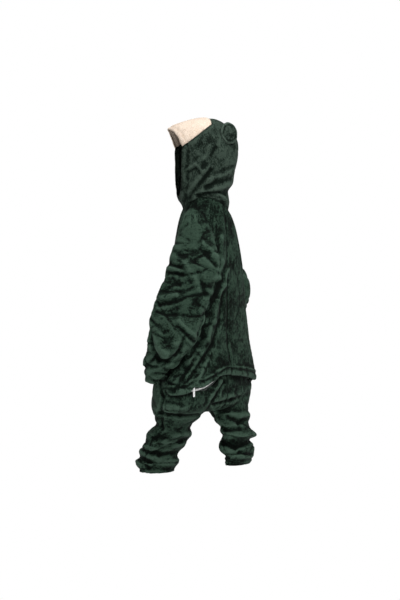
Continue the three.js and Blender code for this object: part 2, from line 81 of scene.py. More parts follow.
def fed(tree, made, values):
    """A node with values or links at its sockets, given by their names or numbers."""
    for key, value in values.items():
        if isinstance(value, bpy.types.NodeSocket):
            tree.links.new(value, made.inputs[key])
        else:
            made.inputs[key].default_value = value
    return made


def node(tree, kind, values=None, **settings):
    """A new node with its settings, fed with values."""
    made = tree.nodes.new(kind)
    for key, value in settings.items():
        setattr(made, key, value)
    return fed(tree, made, values or {})


def by_ray(tree, cast, seen):
    """One shader for the light that things get, and another for what the camera sees."""
    direct = node(tree, "ShaderNodeLightPath").outputs["Is Camera Ray"]
    shaders = {0: direct, 1: cast.outputs[0], 2: seen.outputs[0]}
    return node(tree, "ShaderNodeMixShader", shaders).outputs[0]


turn = math.radians(VIEW_FROM)
rise = math.radians(VIEW_RISE)
picture_right = np.array([math.cos(turn), math.sin(turn), 0.0])
picture_near = np.array([math.sin(turn), -math.cos(turn), 0.0])
aim = picture_right * VIEW_MIDDLE[0] + np.array([0, 0, VIEW_MIDDLE[1]])
lens = bpy.data.cameras.new("camera")
lens.sensor_width = 36
lens.lens = 36 * VIEW_AWAY / VIEW_SPAN
lens.clip_end = 60
camera = placed("camera", lens)
away = picture_near * math.cos(rise) + np.array([0, 0, math.sin(rise)])
camera.location = Vector(aim + away * VIEW_AWAY)
camera.rotation_euler = Vector(away).to_track_quat("Z", "Y").to_euler()
bpy.context.scene.camera = camera

FLOOR = -0.795
WHITE = (1, 1, 1, 1)
sweep = bpy.data.meshes.new("floor")
sweep.from_pydata(
    [(-9, -9, FLOOR), (9, -9, FLOOR), (9, 9, FLOOR), (-9, 9, FLOOR)], [], [(0, 1, 2, 3)]
)
floor = placed("floor", sweep)
paper, tree, matt = material_of("floor")
fed(tree, matt, {"Base Color": WHITE, "Roughness": 0.9})
surface = by_ray(tree, matt, node(tree, "ShaderNodeEmission"))
fed(tree, tree.nodes["Material Output"], {"Surface": surface})
sweep.materials.append(paper)
floor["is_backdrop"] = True

ROOM_LIGHT = 0.42  # the light from all round, beside the lamps
world = bpy.data.worlds.new("world")
world.use_nodes = True
sky = world.node_tree
seen = fed(sky, sky.nodes["Background"], {"Color": WHITE, "Strength": 1.0})
cast = node(sky, "ShaderNodeBackground", {"Color": WHITE, "Strength": ROOM_LIGHT})
fed(sky, sky.nodes["World Output"], {"Surface": by_ray(sky, cast, seen)})
bpy.context.scene.world = world
LAMPS_AIM = -0.3  # the height that they point at
LAMPS = [  # name, from (turn, rise), distance, size, watts
    ("key", 160, 48, 3.4, 1.0, 120),
    ("side", 62, 20, 3.6, 1.4, 26),
    ("top", 124, 80, 3.2, 1.6, 46),
]
for name, lamp_turn, lamp_rise, distance, size, watts in LAMPS:
    lamp = bpy.data.lights.new(name, "AREA")
    lamp.energy = watts
    lamp.size = size
    light = placed(name, lamp)
    a, e = math.radians(lamp_turn), math.radians(lamp_rise)
    way = Vector((math.sin(a) * math.cos(e), -math.cos(a) * math.cos(e), math.sin(e)))
    light.location = way * distance + Vector((0, 0, LAMPS_AIM))
    light.rotation_euler = way.to_track_quat("Z", "Y").to_euler()
bpy.context.scene.view_settings.view_transform = "Standard"

# --- The worn shape of the body, sleeves and legs ---
# One skin through the same sections as the frame's solids, in millimetres: half widths to the
# left and right, depths to the back and front, and how square the section is.
BODY = [  # z, left, right, back, front, square
    (30, 66, 66, 60, 56, 2.0),
    (0, 70, 70, 64, 60, 2.0),
    (-22, 86, 90, 67, 60, 2.0),
    (-45, 100, 104, 71, 60, 2.1),
    (-100, 109, 124, 76, 67, 2.3),
    (-183, 113, 150, 77, 86, 2.4),
    (-235, 117, 160, 77, 93, 2.4),
    (-285, 124, 170, 77, 99, 2.4),
    (-391, 150, 192, 78, 106, 2.4),
    (-440, 163, 198, 79, 108, 2.5),
    (-480, 180, 202, 80, 108, 2.5),
    (-515, 192, 203, 81, 108, 2.5),
    (-552, 197, 202, 81, 108, 2.4),
    (-566, 196, 200, 76, 102, 2.4),
    (-580, 190, 195, 65, 90, 2.3),
    (-590, 176, 182, 48, 66, 2.2),
    (-596, 120, 124, 26, 40, 2.0),
]
# The upper back hangs over the seat: rows down the back and how far each stands out, with the
# matching height on the front, and how much of the edge's rise round the back it follows.
BLOUSE = [  # z at the back, out, z at the front, follow
    (-391, 0, -391, 0.0),
    (-415, 1.5, -412, 0.2),
    (-440, 4, -434, 0.42),
    (-465, 7, -456, 0.66),
    (-490, 10, -476, 0.86),
    (-508, 13, -490, 1),
    (-520, 14.5, -500, 1),
    (-529, 13.5, -508, 1),
    (-534, 9.5, -514, 1),
    (-533, 5, -519, 1),
    (-527, 1, -524, 1),
    (-519, -3, -529, 1),
    (-515, -6, -533, 1),
    (-518, -9, -537, 1),
    (-524, -7.5, -541, 0.95),
    (-532, -3, -545, 0.7),
    (-541, 0, -549, 0.35),
    (-556, 0, -557, 0.1),
    (-566, 0, -567, 0.0),
]
HEM = [  # degrees round from the left side, rise of the edge
    (-180, 16),
    (-20, -6),
    (0, -6),
    (30, -2),
    (38, 2),
    (44, 12),
    (56, 13),
    (64, 21),
    (72, 30),
    (84, 44),
    (95, 40),
    (112, 32),
    (132, 20),
    (180, 16),
]
ZIP_LINE = [  # degrees round from the left side, height of the seat zip
    (-180, -503),
    (0, -524),
    (30, -524),
    (44, -526),
    (56, -521),
    (64, -515),
    (72, -503),
    (84, -478),
    (95, -480),
    (112, -488),
    (132, -500),
    (180, -503),
]
NECK_LOW = -14  # the neck seam at the throat and nape, and its rise over the left shoulder
NECK_RISE = 34
NECK_TOWARD = 34
NECK_SPREAD = 55
LEG_LEFT = [  # z, x, y, half width, half depth
    (-532, 100, -14, 88, 80),
    (-562, 99, -16, 90, 84),
    (-582, 96, -21, 87, 80),
    (-600, 93, -30, 80, 66),
    (-612, 93, -33, 76, 59),
    (-625, 93, -38, 72, 49),
    (-640, 93, -52, 74, 51),
    (-658, 94, -61, 77, 56),
    (-672, 95, -67, 73, 54),
    (-687, 96, -75, 77, 59),
    (-701, 97, -83, 76, 59),
    (-716, 97, -91, 69, 52),
    (-728, 97, -98, 69, 52),
    (-740, 97, -100, 76, 57),
    (-752, 96, -106, 69, 52),
    (-770, 95, -104, 63, 47),
    (-784, 95, -104, 62, 46),
]
LEG_RIGHT = [
    (-532, -101, -12, 90, 82),
    (-562, -100, -8, 91, 80),
    (-582, -96, 4, 87, 66),
    (-600, -93, 20, 79, 50),
    (-616, -93, 31, 74, 43),
    (-635, -93, 39, 67, 38),
    (-649, -93, 46, 64, 36),
    (-661, -93, 54, 70, 41),
    (-675, -93, 58, 69, 41),
    (-690, -92, 41, 62, 34),
    (-706, -92, 49, 68, 37),
    (-718, -92, 56, 68, 38),
    (-731, -92, 62, 62, 33),
    (-742, -91, 58, 60, 32),
    (-758, -90, 54, 52, 28),
    (-772, -90, 54, 51, 27),
]
SLEEVE_LEFT = [  # x, y, z, half width along the slant, half depth
    (66, 6, -24, 22, 24),
    (88, 20, -58, 44, 36),
    (102, 34, -98, 57, 42),
    (122, 46, -137, 68, 43),
    (139, 52, -183, 74, 42),
    (158, 45, -233, 71, 40),
    (170, 36, -275, 73, 41),
    (182, 30, -318, 76, 42),
    (198, 28, -352, 74, 42),
    (210, 16, -391, 60, 40),
    (212, 0, -420, 55, 36),
    (217, -18, -442, 40, 34),
    (217, -21, -460, 36, 32),
    (222, -27, -477, 28, 29),
    (222, -31, -492, 22, 25),
    (223, -34, -504, 18, 22),
]
SLEEVE_RIGHT = [
    (-66, 2, -24, 22, 24),
    (-92, -4, -56, 40, 34),
    (-114, -14, -98, 49, 40),
    (-138, -24, -140, 50, 44),
    (-164, -28, -186, 50, 44),
    (-190, -21, -230, 48, 44),
    (-204, -27, -266, 46, 42),
    (-214, -48, -294, 44, 40),
    (-220, -82, -318, 43, 38),
    (-219, -112, -342, 42, 36),
    (-214, -138, -366, 37, 33),
    (-208, -154, -384, 30, 27),
    (-202, -165, -394, 29, 26),
]
SLANT = {1: np.array([-0.559, 0.829, 0.0]), -1: np.array([0.35, 0.94, 0.0])}


def column(rows, n):
    return np.array([float(row[n]) for row in rows])


def smooth(rows, n, v, at=0):
    """A column of a table as a smooth curve over the column at."""
    order = np.argsort(column(rows, at), kind="stable")
    x, y = column(rows, at)[order], column(rows, n)[order]
    slope = np.gradient(y, x)
    v = np.clip(v, x[0], x[-1])
    i = np.clip(np.searchsorted(x, v) - 1, 0, len(x) - 2)
    h = x[i + 1] - x[i]
    t = (v - x[i]) / h
    a, b = slope[i] * h, slope[i + 1] * h
    rise_ = y[i + 1] - y[i]
    return y[i] + t * a + t * t * (3 * rise_ - 2 * a - b) + t**3 * (a + b - 2 * rise_)


def signed(v, e):
    return np.sign(v) * np.abs(v) ** e


def body_section(left, back, z):
    """Half width, half depth and squareness at heights, left and back being above 0 there."""
    half = np.where(left > 0, smooth(BODY, 1, z), smooth(BODY, 2, z))
    deep = np.where(back > 0, smooth(BODY, 3, z), smooth(BODY, 4, z))
    return half, deep, smooth(BODY, 5, z)


def hem_rise(degrees):
    return smooth(HEM, 1, degrees)


def neck_height(x, y):
    toward = (np.degrees(np.arctan2(y, x)) - NECK_TOWARD + 180) % 360 - 180
    return NECK_LOW + NECK_RISE * np.exp(-((toward / NECK_SPREAD) ** 2))


def loft(rings):
    """Vertices and faces of a closed solid through rings with like numbers of points."""
    n = len(rings[0])
    points = np.concatenate(rings)
    faces = []
    for r in range(len(rings) - 1):
        for i in range(n):
            j = (i + 1) % n
            faces.append((r * n + i, r * n + j, (r + 1) * n + j, (r + 1) * n + i))
    faces.append(tuple(range(n))[::-1])
    faces.append(tuple((len(rings) - 1) * n + i for i in range(n)))
    return points, faces


def turned_outward(name, places, faces):
    """A closed mesh of places in millimetres, with its faces turned outward."""
    made = bpy.data.meshes.new(name)
    made.from_pydata((places / 1000).tolist(), [], faces)
    bm = bmesh.new()
    bm.from_mesh(made)
    bmesh.ops.recalc_face_normals(bm, faces=bm.faces)
    bm.to_mesh(made)
    bm.free()
    return made


def body_rings(count=144):
    degrees = (np.arange(count) + 0.5) / count * 360 - 180
    c, s = np.cos(np.radians(degrees)), np.sin(np.radians(degrees))
    back = np.clip((s + 0.12) / 0.26, 0, 1)  # 0 at the front, 1 at the back, and soft between
    back = back * back * (3 - 2 * back)
    rows = [(z, 0, z, 0) for z in (14, 7, 0, -11, -22, -33, -45, -60, -80, -100, -118, -136)]
    rows += [(z, 0, z, 0) for z in range(-155, -390, -20)]
    rows += BLOUSE
    rows += [(z, 0, z, 0) for z in (-575, -582, -588, -593, -596)]
    rings = []
    for z_back, out, z_front, follow in rows:
        z = z_front * (1 - back) + (z_back + follow * hem_rise(degrees)) * back
        half, deep, square = body_section(c, s, z)
        across = (half + out * back) * signed(c, 2 / square)
        through = (deep + out * back) * signed(s, 2 / square)
        share = np.interp(z, (-45, -22, 0), (0, 0.35, 1))  # how far a ring follows the neck's rise
        rings.append(np.stack([across, through, z + share * neck_height(across, through)], 1))
    return rings


def leg_rings(rows, count=64):
    t = (np.arange(count) + 0.5) / count * 2 * math.pi
    rings = []
    levels = np.arange(rows[0][0], rows[-1][0] - 0.1, -4.0)
    for z in levels:  # each ring a little out of round and tilted, so that the legs wrinkle
        x, y, wide, deep = (smooth(rows, n, z) for n in (1, 2, 3, 4))
        k = (z + 600) / 14.0
        wave = 2.5 * np.sin(2 * t + k * 2.1) * (z < -600)
        lift = 5 * np.sin(t + k * 0.9) * np.clip((-600 - z) / 30, 0, 1)
        lift *= np.clip((z - rows[-2][0]) / 14, 0, 1)
        ring = [x + (wide + wave) * np.cos(t), y + (deep + wave) * np.sin(t), z + lift]
        rings.append(np.stack(ring, 1))
    return rings


def sleeve_path(rows, steps=90):
    """Middles, side and deep directions and half sizes all along a sleeve."""
    keyed = [(k, *row) for k, row in enumerate(rows)]
    at = np.linspace(0, len(rows) - 1, steps)
    middle = np.stack([smooth(keyed, n, at) for n in (1, 2, 3)], 1)
    along = np.gradient(middle, axis=0)
    along /= np.linalg.norm(along, axis=1)[:, None]
    slant = SLANT[1 if rows[0][0] > 0 else -1]
    side = slant - along * (along @ slant)[:, None]
    side /= np.linalg.norm(side, axis=1)[:, None]
    deep = np.cross(along, side)
    return middle, along, side, deep, smooth(keyed, 4, at), smooth(keyed, 5, at)


def sleeve_rings(rows, count=56):
    t = (np.arange(count) + 0.5) / count * 2 * math.pi
    middle, _, side, deep, wide, thick = sleeve_path(rows)
    rings = []
    for k in range(len(middle)):
        ring = middle[k] + np.outer(np.cos(t) * wide[k], side[k])
        rings.append(ring + np.outer(np.sin(t) * thick[k], deep[k]))
    return rings


VOXEL = 0.0042
shells = [
    loft(body_rings()),
    loft(leg_rings(LEG_LEFT)),
    loft(leg_rings(LEG_RIGHT)),
    loft(sleeve_rings(SLEEVE_LEFT)),
    loft(sleeve_rings(SLEEVE_RIGHT)),
]
points, faces = [], []
for shell_points, shell_faces in shells:
    start = sum(len(p) for p in points)
    points.append(shell_points)
    faces += [tuple(start + i for i in f) for f in shell_faces]
skin = placed("worn_shape", turned_outward("worn_shape", np.concatenate(points), faces))
remesh = skin.modifiers.new("one_skin", "REMESH")
remesh.mode = "VOXEL"
remesh.voxel_size = VOXEL
bpy.context.view_layer.update()
evaluated = skin.evaluated_get(bpy.context.evaluated_depsgraph_get())
mesh = bpy.data.meshes.new_from_object(evaluated)
skin.modifiers.clear()
skin.data = mesh

# Creases listed one by one. Each row is a run seen from the camera's side: along the picture and
# up at both ends, then how far the cloth stands out there (less than 0 is a trough) and how
# wide the fold is, all in millimetres.
CREASES_NEAR = [
    (46, -92, 46, -165, 3.8, 9),  # fold of the back beside the sleeve
    (46, -165, 35, -209, 6, 8),
    (35, -209, 17, -249, 7, 8),
    (17, -249, 3, -334, 6, 7),
    (64, -186, 52, -229, 4, 7),
    (52, -229, 32, -276, 6, 7),
    (32, -276, 23, -334, 7, 7),
    (23, -334, 3, -386, 7, 7),
    (3, -386, -20, -409, 8, 7),
    (-20, -409, -49, -447, 8, 7),
    (-49, -447, -90, -513, 8, 8),
    (52, -250, 44, -330, -3, 6),
    (44, -330, 20, -400, -4, 6),
    (20, -400, -30, -470, -5, 6),
    (-30, -470, -62, -512, -4, 6),
    (6, -440, -24, -500, 4, 7),
    (29, -223, 6, -310, -7, 9),  # valley
    (6, -310, -17, -397, -9, 9),
    (-17, -397, -55, -461, -10, 10),
    (-55, -461, -93, -525, -10, 11),
    (-14, -125, 35, -174, -5, 6),  # shoulder blade
    (-6, -110, 44, -154, 4, 7),
    (-113, -165, -70, -177, -4, 6),  # upper arm
    (-116, -188, -64, -197, -4, 5),
    (-122, -215, -70, -226, -3, 5),
    (-113, -177, -70, -186, 3, 5),
    (-93, -130, -55, -151, -3, 7),
    (-55, -165, -20, -226, 4, 12),
    (-20, -188, 3, -252, -4, 8),
    (-130, -278, -84, -270, -6, 6),  # elbow
    (-122, -261, -81, -252, 4, 7),
    (-78, -339, -20, -394, -6, 6),
    (-72, -328, -14, -380, 4, 7),
    (-154, -322, -113, -354, -4, 7),
    (-72, -75, -52, -55, -3, 5),  # armhole
    (-52, -55, 3, -49, -3, 6),
    (-157, -360, -145, -409, -7, 6),  # lower sleeve
    (-145, -409, -128, -438, -9, 6),
    (-128, -438, -104, -441, -9, 6),
    (-104, -441, -72, -412, -9, 6),
    (-72, -412, -58, -374, -6, 6),
    (-133, -394, -110, -415, 7, 12),
    (-110, -415, -81, -392, 7, 12),
    (-171, -455, -136, -426, -5, 6),
    (-160, -473, -125, -455, 4, 7),
    (-130, -592, -72, -600, -8, 6),  # seat
    (-72, -600, -20, -600, -7, 6),
    (-125, -568, -26, -577, 4, 9),
    (-110, -556, -60, -566, -3, 5),
    (26, -573, 78, -563, -9, 5),
    (78, -563, 133, -553, -9, 5),
    (60, -532, 136, -522, -5, 12),
    (58, -508, 23, -560, -6, 5),
    (23, -560, 6, -588, -6, 5),
    (46, -506, 14, -552, 4, 6),
    (-128, -500, -122, -540, -5, 6),
    (14, -589, 32, -635, -5, 6),
    (32, -635, 49, -682, -5, 6),
    (26, -594, 46, -652, 4, 6),
    (67, -615, 102, -632, -6, 6),  # far leg
    (102, -632, 136, -621, -6, 6),
    (55, -652, 102, -647, -6, 6),
    (102, -647, 142, -655, -5, 6),
    (49, -690, 90, -702, -6, 6),
    (90, -702, 136, -693, -7, 6),
    (61, -725, 102, -716, -6, 5),
    (102, -716, 142, -728, -6, 5),
    (-44, -670, -96, -690, -7, 7),  # near leg
    (-96, -690, -148, -710, -7, 7),
    (-52, -652, -113, -670, 4, 9),
    (-186, -699, -130, -716, -6, 6),
    (-130, -716, -67, -710, -7, 6),
    (-188, -684, -130, -702, 4, 7),
    (-197, -719, -145, -742, -7, 6),
    (-145, -742, -78, -745, -7, 6),
    (-188, -734, -160, -757, -4, 5),
    (-119, -542, -128, -594, -4, 5),  # side seam
    (-128, -594, -122, -638, -4, 5),
    (-122, -638, -139, -664, -4, 5),
]
# The same kind of folds on the side turned away, measured along the same direction.
CREASES_FAR = [
    (-60, -60, -75, -130, 4, 12),  # chest
    (-75, -130, -92, -230, 5, 13),
    (-92, -230, -88, -330, 4, 13),
    (-20, -80, -34, -170, -4, 11),
    (-34, -170, -30, -290, -5, 12),
    (-120, -320, -60, -352, -5, 10),
    (-60, -352, 10, -346, -4, 10),
    (-130, -352, -70, -384, 4, 12),
    (-110, -430, -30, -452, -5, 11),
    (-30, -452, 40, -440, -4, 11),
    (20, -300, 26, -420, 5, 15),
    (-140, -500, -60, -520, -5, 11),
    (-60, -520, 10, -512, -5, 10),
    (60, -110, 96, -128, -4, 6),  # far sleeve
    (58, -140, 104, -152, -5, 7),
    (62, -172, 112, -178, -5, 6),
    (70, -205, 122, -204, -6, 7),
    (64, -236, 124, -228, -5, 7),
    (40, -268, 108, -264, -6, 7),
    (18, -290, 84, -300, -5, 7),
    (0, -316, 60, -330, -5, 6),
    (-24, -336, 30, -352, -5, 6),
    (30, -610, 90, -622, -7, 9),  # legs
    (20, -655, 110, -642, -7, 8),
    (30, -684, 130, -676, -6, 8),
    (40, -716, 128, -708, -7, 7),
    (-170, -618, -60, -636, -7, 9),
    (-180, -660, -70, -668, -7, 9),
    (-196, -700, -84, -690, -7, 8),
    (-200, -728, -80, -736, -6, 7),
]


def read(mesh):
    values = np.empty(len(mesh.vertices) * 3)
    mesh.vertices.foreach_get("co", values)
    return values.reshape(-1, 3)


def write(mesh, points):
    mesh.vertices.foreach_set("co", np.asarray(points, dtype=float).ravel())
    mesh.update()


def normals(mesh):
    values = np.empty(len(mesh.vertices) * 3, dtype=np.float32)
    mesh.vertex_normals.foreach_get("vector", values)
    return values.reshape(-1, 3).astype(float)


def keep(mesh, fields):
    """Keeps fields, given by name, with the points of a mesh."""
    for name, values in fields.items():
        layer = mesh.attributes.new(name, "FLOAT", "POINT")
        layer.data.foreach_set("value", values.astype(np.float32))


CREASE_DEPTH = 1.55


def creased(points, out, table, way, depth=CREASE_DEPTH):
    """How far each point moves along its normal for a table of creases seen along way."""
    u, z = points @ picture_right * 1000, points[:, 2] * 1000
    facing = np.clip(out @ way * 1.6, 0, 1)
    move = np.zeros(len(points))
    for u0, z0, u1, z1, height, width in table:
        height *= depth
        du, dz = u1 - u0, z1 - z0
        t = np.clip(((u - u0) * du + (z - z0) * dz) / (du * du + dz * dz), 0, 1)
        gap = np.hypot(u - u0 - t * du, z - z0 - t * dz)
        move += height * np.exp(-((gap / width) ** 2)) * (0.75 + 0.25 * np.sin(3 * t + u0))
    return move * facing


def bounded(move, deepest=13.0):
    """The same movement with its deep troughs levelled off."""
    return np.where(move < 0, deepest * np.tanh(move / deepest), move)


# Where the seams run, as a field in millimetres for each: the seam is where it is nothing. The
# fields are worked out on the plain shape and stay with its points as the cloth moves.
points = read(mesh)
x, y, z = (points * 1000).T
half, deep, square = body_section(x, y, z)
body_norm = ((np.abs(x) / half) ** square + (np.abs(y) / deep) ** square) ** (1 / square)
off_body = (body_norm - 1) * np.hypot(x, y) / body_norm
degrees = np.degrees(np.arctan2(y / deep, x / half))


def sleeve_field(rows):
    """How far out of a sleeve's axis each point is, 1 being on its face, and past its end."""
    middle, along, side, deep_way, wide, thick = sleeve_path(rows)
    places = points * 1000
    nearest = np.empty(len(places), dtype=int)
    for start in range(0, len(places), 20000):
        part = places[start : start + 20000]
        nearest[start : start + 20000] = ((part[:, None, :] - middle[None]) ** 2).sum(2).argmin(1)
    off = places - middle[nearest]
    across = (off * side[nearest]).sum(1) / wide[nearest]
    through = (off * deep_way[nearest]).sum(1) / thick[nearest]
    past = ((places - middle[-1]) * along[-1]).sum(1)
    return np.hypot(across, through), past


norm_left, past_left = sleeve_field(SLEEVE_LEFT)
norm_right, past_right = sleeve_field(SLEEVE_RIGHT)
HEM_LEVEL = -534  # of the blouse's edge, before its rise round the back
SEAT_EDGE = 5  # how far below the zip's middle the seat's edge lies
LEG_TOP = -582  # where the side seam starts to follow the legs
LEG_CASING = -744  # where the turned casings of the legs begin
FOOT_LEFT, FOOT_RIGHT = -770, -758
CASING_END = 14  # width of a sleeve's turned casing past its seam
SLOT_HALF = 5  # half width of the front zip's gap, and the height of its lower end
SLOT_FOOT = -575
legs = np.where(x > 0, smooth(LEG_LEFT, 2, z), smooth(LEG_RIGHT, 2, z))
zip_height = smooth(ZIP_LINE, 1, degrees)
hem_bottom = HEM_LEVEL + hem_rise(degrees)
clear_of_sleeves = np.minimum(norm_left, norm_right) > 1.15
in_groove = np.minimum(z - zip_height + SEAT_EDGE, 1.0 - off_body)
behind = (degrees > 10) & (degrees < 170) & (z < hem_bottom + 24)
in_groove = np.where(behind, in_groove, -9.0)
fields = {
    "armhole_left": np.where(past_left < 6, (norm_left - body_norm) * 60, 60),
    "armhole_right": np.where(past_right < 6, (norm_right - body_norm) * 60, 60),
    "cuff_left": past_left + CASING_END,
    "cuff_right": past_right + CASING_END,
    "side": y - np.where(z > LEG_TOP, -3.0, legs),
    "centre": x,
    "groove": in_groove,
    "casing": z - LEG_CASING,
    "foot": z - np.where(x > 0, FOOT_LEFT, FOOT_RIGHT),
    "neck": neck_height(x, y) + 2 - z,
    "front_slot": np.minimum(
        np.minimum(SLOT_HALF - np.abs(x), z - SLOT_FOOT), np.where(y < 0, 9.0, -9.0)
    ),
}
upper = (z > zip_height + 12) | ((off_body > 1.5) & (z > hem_bottom - 6))
fields["upper"] = np.where(upper, 1.0, -1.0)

# The folds: those listed, small crumples that run round the limbs and down the back,
# and the seams, which pull the plush in.
CRUMPLES = {  # across and along the cloth's hang: folds to a metre, and depth in millimetres
    "sleeve": (12, 32, 4.8),
    "leg": (9, 28, 4.4),
    "body": (17, 8, 1.8),
}
HEM_DEEP = 21  # height of the blouse's turned-up hem
HEM_FOLD = 2.2  # how far its stitching draws the cloth in
SEAM_DEEP = 2.0
SEAM_WIDE = 4.5
noise.seed_set(7)  # the same crumples in every run


def crumple(places, level, upright, depth, offset):
    """Thin uneven troughs, longer across than along the way the cloth hangs."""
    made = np.empty(len(places))
    for k, place in enumerate(places):
        p = Vector(place)
        p = p + noise.noise_vector(p * 7 + Vector((offset, 0, 0))) * 0.022
        p = Vector((p.x * level, p.y * level, p.z * upright + offset))
        made[k] = 1 - abs(noise.noise(p))
    return -depth * np.clip(made, 0, 1) ** 6


def eased(mesh, points, rounds, amount):
    """Points moved toward the middle of their neighbours, round after round, by amount."""
    ends = np.empty(len(mesh.edges) * 2, dtype=int)
    mesh.edges.foreach_get("vertices", ends)
    ends = ends.reshape(-1, 2)
    count = np.maximum(np.bincount(ends.ravel(), minlength=len(points)), 1).astype(float)
    moved = points.copy()
    for _ in range(rounds):
        total = np.zeros_like(moved)
        for axis in range(3):
            total[:, axis] = np.bincount(ends[:, 0], moved[ends[:, 1], axis], len(points))
            total[:, axis] += np.bincount(ends[:, 1], moved[ends[:, 0], axis], len(points))
        moved += (total / count[:, None] - moved) * amount
    return moved


# The sleeves run into the body in a soft hollow, not an angle.
for inner, reach, foot in ((norm_left, 0.36, -300), (norm_right, 0.30, -170)):
    near_join = np.exp(-((np.abs(inner - body_norm) / reach) ** 2))
    near_join *= np.minimum(inner, body_norm) < 1.4
    near_join *= np.clip((z - foot) / 90, 0, 1) * np.clip((-z - 34) / 30, 0, 1)
    points = eased(mesh, points, 60, 0.6 * near_join[:, None])
write(mesh, points)

out = normals(mesh)
move = creased(points, out, CREASES_NEAR, picture_near)
move += creased(points, out, CREASES_FAR, -picture_near)
on_sleeve = np.clip((1.25 - np.minimum(norm_left, norm_right)) * 6, 0, 1) * np.clip((-z - 40) / 50, 0, 1)
on_leg = np.clip((-585 - z) / 30, 0, 1) * (1 - on_sleeve)
on_body = (1 - on_sleeve) * (1 - on_leg) * (off_body > -1) * np.clip((-z - 20) / 60, 0, 1)
move += crumple(points, *CRUMPLES["sleeve"], 0.3) * on_sleeve
move += crumple(points, *CRUMPLES["leg"], 4.1) * on_leg
move += crumple(points, *CRUMPLES["body"], 7.7) * on_body
at_seam = np.zeros(len(points))
for name in ("armhole_left", "armhole_right"):
    at_seam = np.maximum(at_seam, 0.5 * np.exp(-((fields[name] / SEAM_WIDE) ** 2)) * (z < -30))
for name in ("cuff_left", "cuff_right", "casing"):
    at_seam = np.maximum(at_seam, np.exp(-((fields[name] / SEAM_WIDE) ** 2)))
at_seam = np.maximum(at_seam, np.exp(-((fields["side"] / SEAM_WIDE) ** 2)) * (on_sleeve < 0.3))
centred = np.exp(-((x / SEAM_WIDE) ** 2)) * (y > 0) * (z < 0) * (on_sleeve < 0.3)
at_seam = np.maximum(at_seam, centred)
move -= SEAM_DEEP * at_seam
hem_fold = np.exp(-(((z - hem_bottom - HEM_DEEP) / 4.0) ** 2)) * (y > -15) * clear_of_sleeves
move -= HEM_FOLD * hem_fold
points = points + out * bounded(move)[:, None] / 1000
write(mesh, points)
keep(mesh, fields)

# The plush settles. It is cut longer along the arms and legs than the shape it lies in, so it
# buckles there into folds of its own, while the shoulders, the zips and the casings hold.
ROOM = 0.008  # as a share, like the three below
LEG_LONGER = 0.12
SLEEVE_LONGER = 0.06
BODY_LONGER = 0.012
FRAMES = 20
skin.shape_key_add(name="worn")
cut = skin.shape_key_add(name="cut")
cut_points = points.copy()
cut_points[:, 2] += np.minimum(points[:, 2] + 0.59, 0) * LEG_LONGER
cut_points[:, 2] += (points[:, 2] + 0.10) * SLEEVE_LONGER * on_sleeve
cut_points[:, 2] += (points[:, 2] + 0.30) * BODY_LONGER * (1 - on_sleeve)
cut.data.foreach_set("co", cut_points.ravel())
hold = np.full(len(points), 0.2)  # how firmly each point keeps its place
hold[on_leg > 0.5] = 0.25
hold[z < -735] = 0.4
hold[z > -30] = 0.8
hold[z > neck_height(x, y) - 14] = 1.0
hold[(np.abs(z - hem_bottom) < 26) & (y > 0) & clear_of_sleeves] = 0.5
hold[(np.abs(x) < 24) & (y < 0) & (z > -585)] = 1.0
hold[(np.abs(z - zip_height) < 14) & (y > 0) & (off_body < 2) & clear_of_sleeves] = 1.0
group = skin.vertex_groups.new(name="hold")
for level in np.unique(hold):
    group.add(np.nonzero(hold == level)[0].tolist(), float(level), "REPLACE")
cloth = skin.modifiers.new("settle", "CLOTH")
cs = cloth.settings
cs.quality = 4
cs.mass = 0.3
cs.tension_stiffness = 12
cs.compression_stiffness = 12
cs.shear_stiffness = 5
cs.bending_stiffness = 1.0
cs.vertex_group_mass = "hold"
cs.pin_stiffness = 0.8
cs.shrink_min = -ROOM
cs.rest_shape_key = cut
cs.effector_weights.gravity = 0.25
cloth.collision_settings.use_collision = False
cloth.point_cache.frame_start = 1
cloth.point_cache.frame_end = FRAMES
for number in range(1, FRAMES + 1):
    bpy.context.scene.frame_set(number)
evaluated = skin.evaluated_get(bpy.context.evaluated_depsgraph_get())
settled = read(evaluated.to_mesh())
evaluated.to_mesh_clear()
skin.modifiers.remove(cloth)
skin.shape_key_clear()
points = settled
write(mesh, points)
bpy.context.scene.frame_set(1)


def fold_field(mesh, points, steps=12, reach=0.0020):
    """Where the cloth stands out of its own smooth shape, from -1 in troughs to 1 on ridges."""
    even = eased(mesh, points, steps, 0.6)
    stand = ((points - even) * normals(mesh)).sum(1)
    return np.clip(stand / reach, -1, 1)


# The fold field is kept for the plush's painted shade in troughs and painted highlights on ridges.
keep(mesh, {"fold": fold_field(mesh, points), "across": np.maximum(on_sleeve, on_leg)})


# --- The plush ---
# Short-pile velour, brushed both ways: where the pile lies toward the eye it is nearly black,
# where it lies away it is grey green, in patches that follow the hand's strokes. Painted shade
# darkens the troughs of the folds and painted highlights lighten their ridges.
def group_of(name, inputs, outputs):
    """An empty node group with its named inputs (name, kind, value) and outputs."""
    group = bpy.data.node_groups.new(name, "ShaderNodeTree")
    for label, kind, value in inputs:
        socket = group.interface.new_socket(label, in_out="INPUT", socket_type=kind)
        socket.default_value = value
    for label, kind in outputs:
        group.interface.new_socket(label, in_out="OUTPUT", socket_type=kind)
    return group, group.nodes.new("NodeGroupInput"), group.nodes.new("NodeGroupOutput")


def sum_of(tree, operation, *values):
    """The result of a sum on up to three numbers or links."""
    return node(tree, "ShaderNodeMath", dict(enumerate(values)), operation=operation).outputs[0]


def noise_at(tree, place, scale, detail, **more):
    """A cloudy value from 0 to 1 at a place."""
    values = {"Vector": place, "Scale": scale, "Detail": detail, **more}
    return node(tree, "ShaderNodeTexNoise", values).outputs["Fac"]


def between(tree, value, low, high, least, most, **more):
    """A value from low to high, brought to lie from least to most."""
    values = {"Value": value, "From Min": low, "From Max": high, "To Min": least, "To Max": most}
    return node(tree, "ShaderNodeMapRange", values, **more).outputs["Result"]


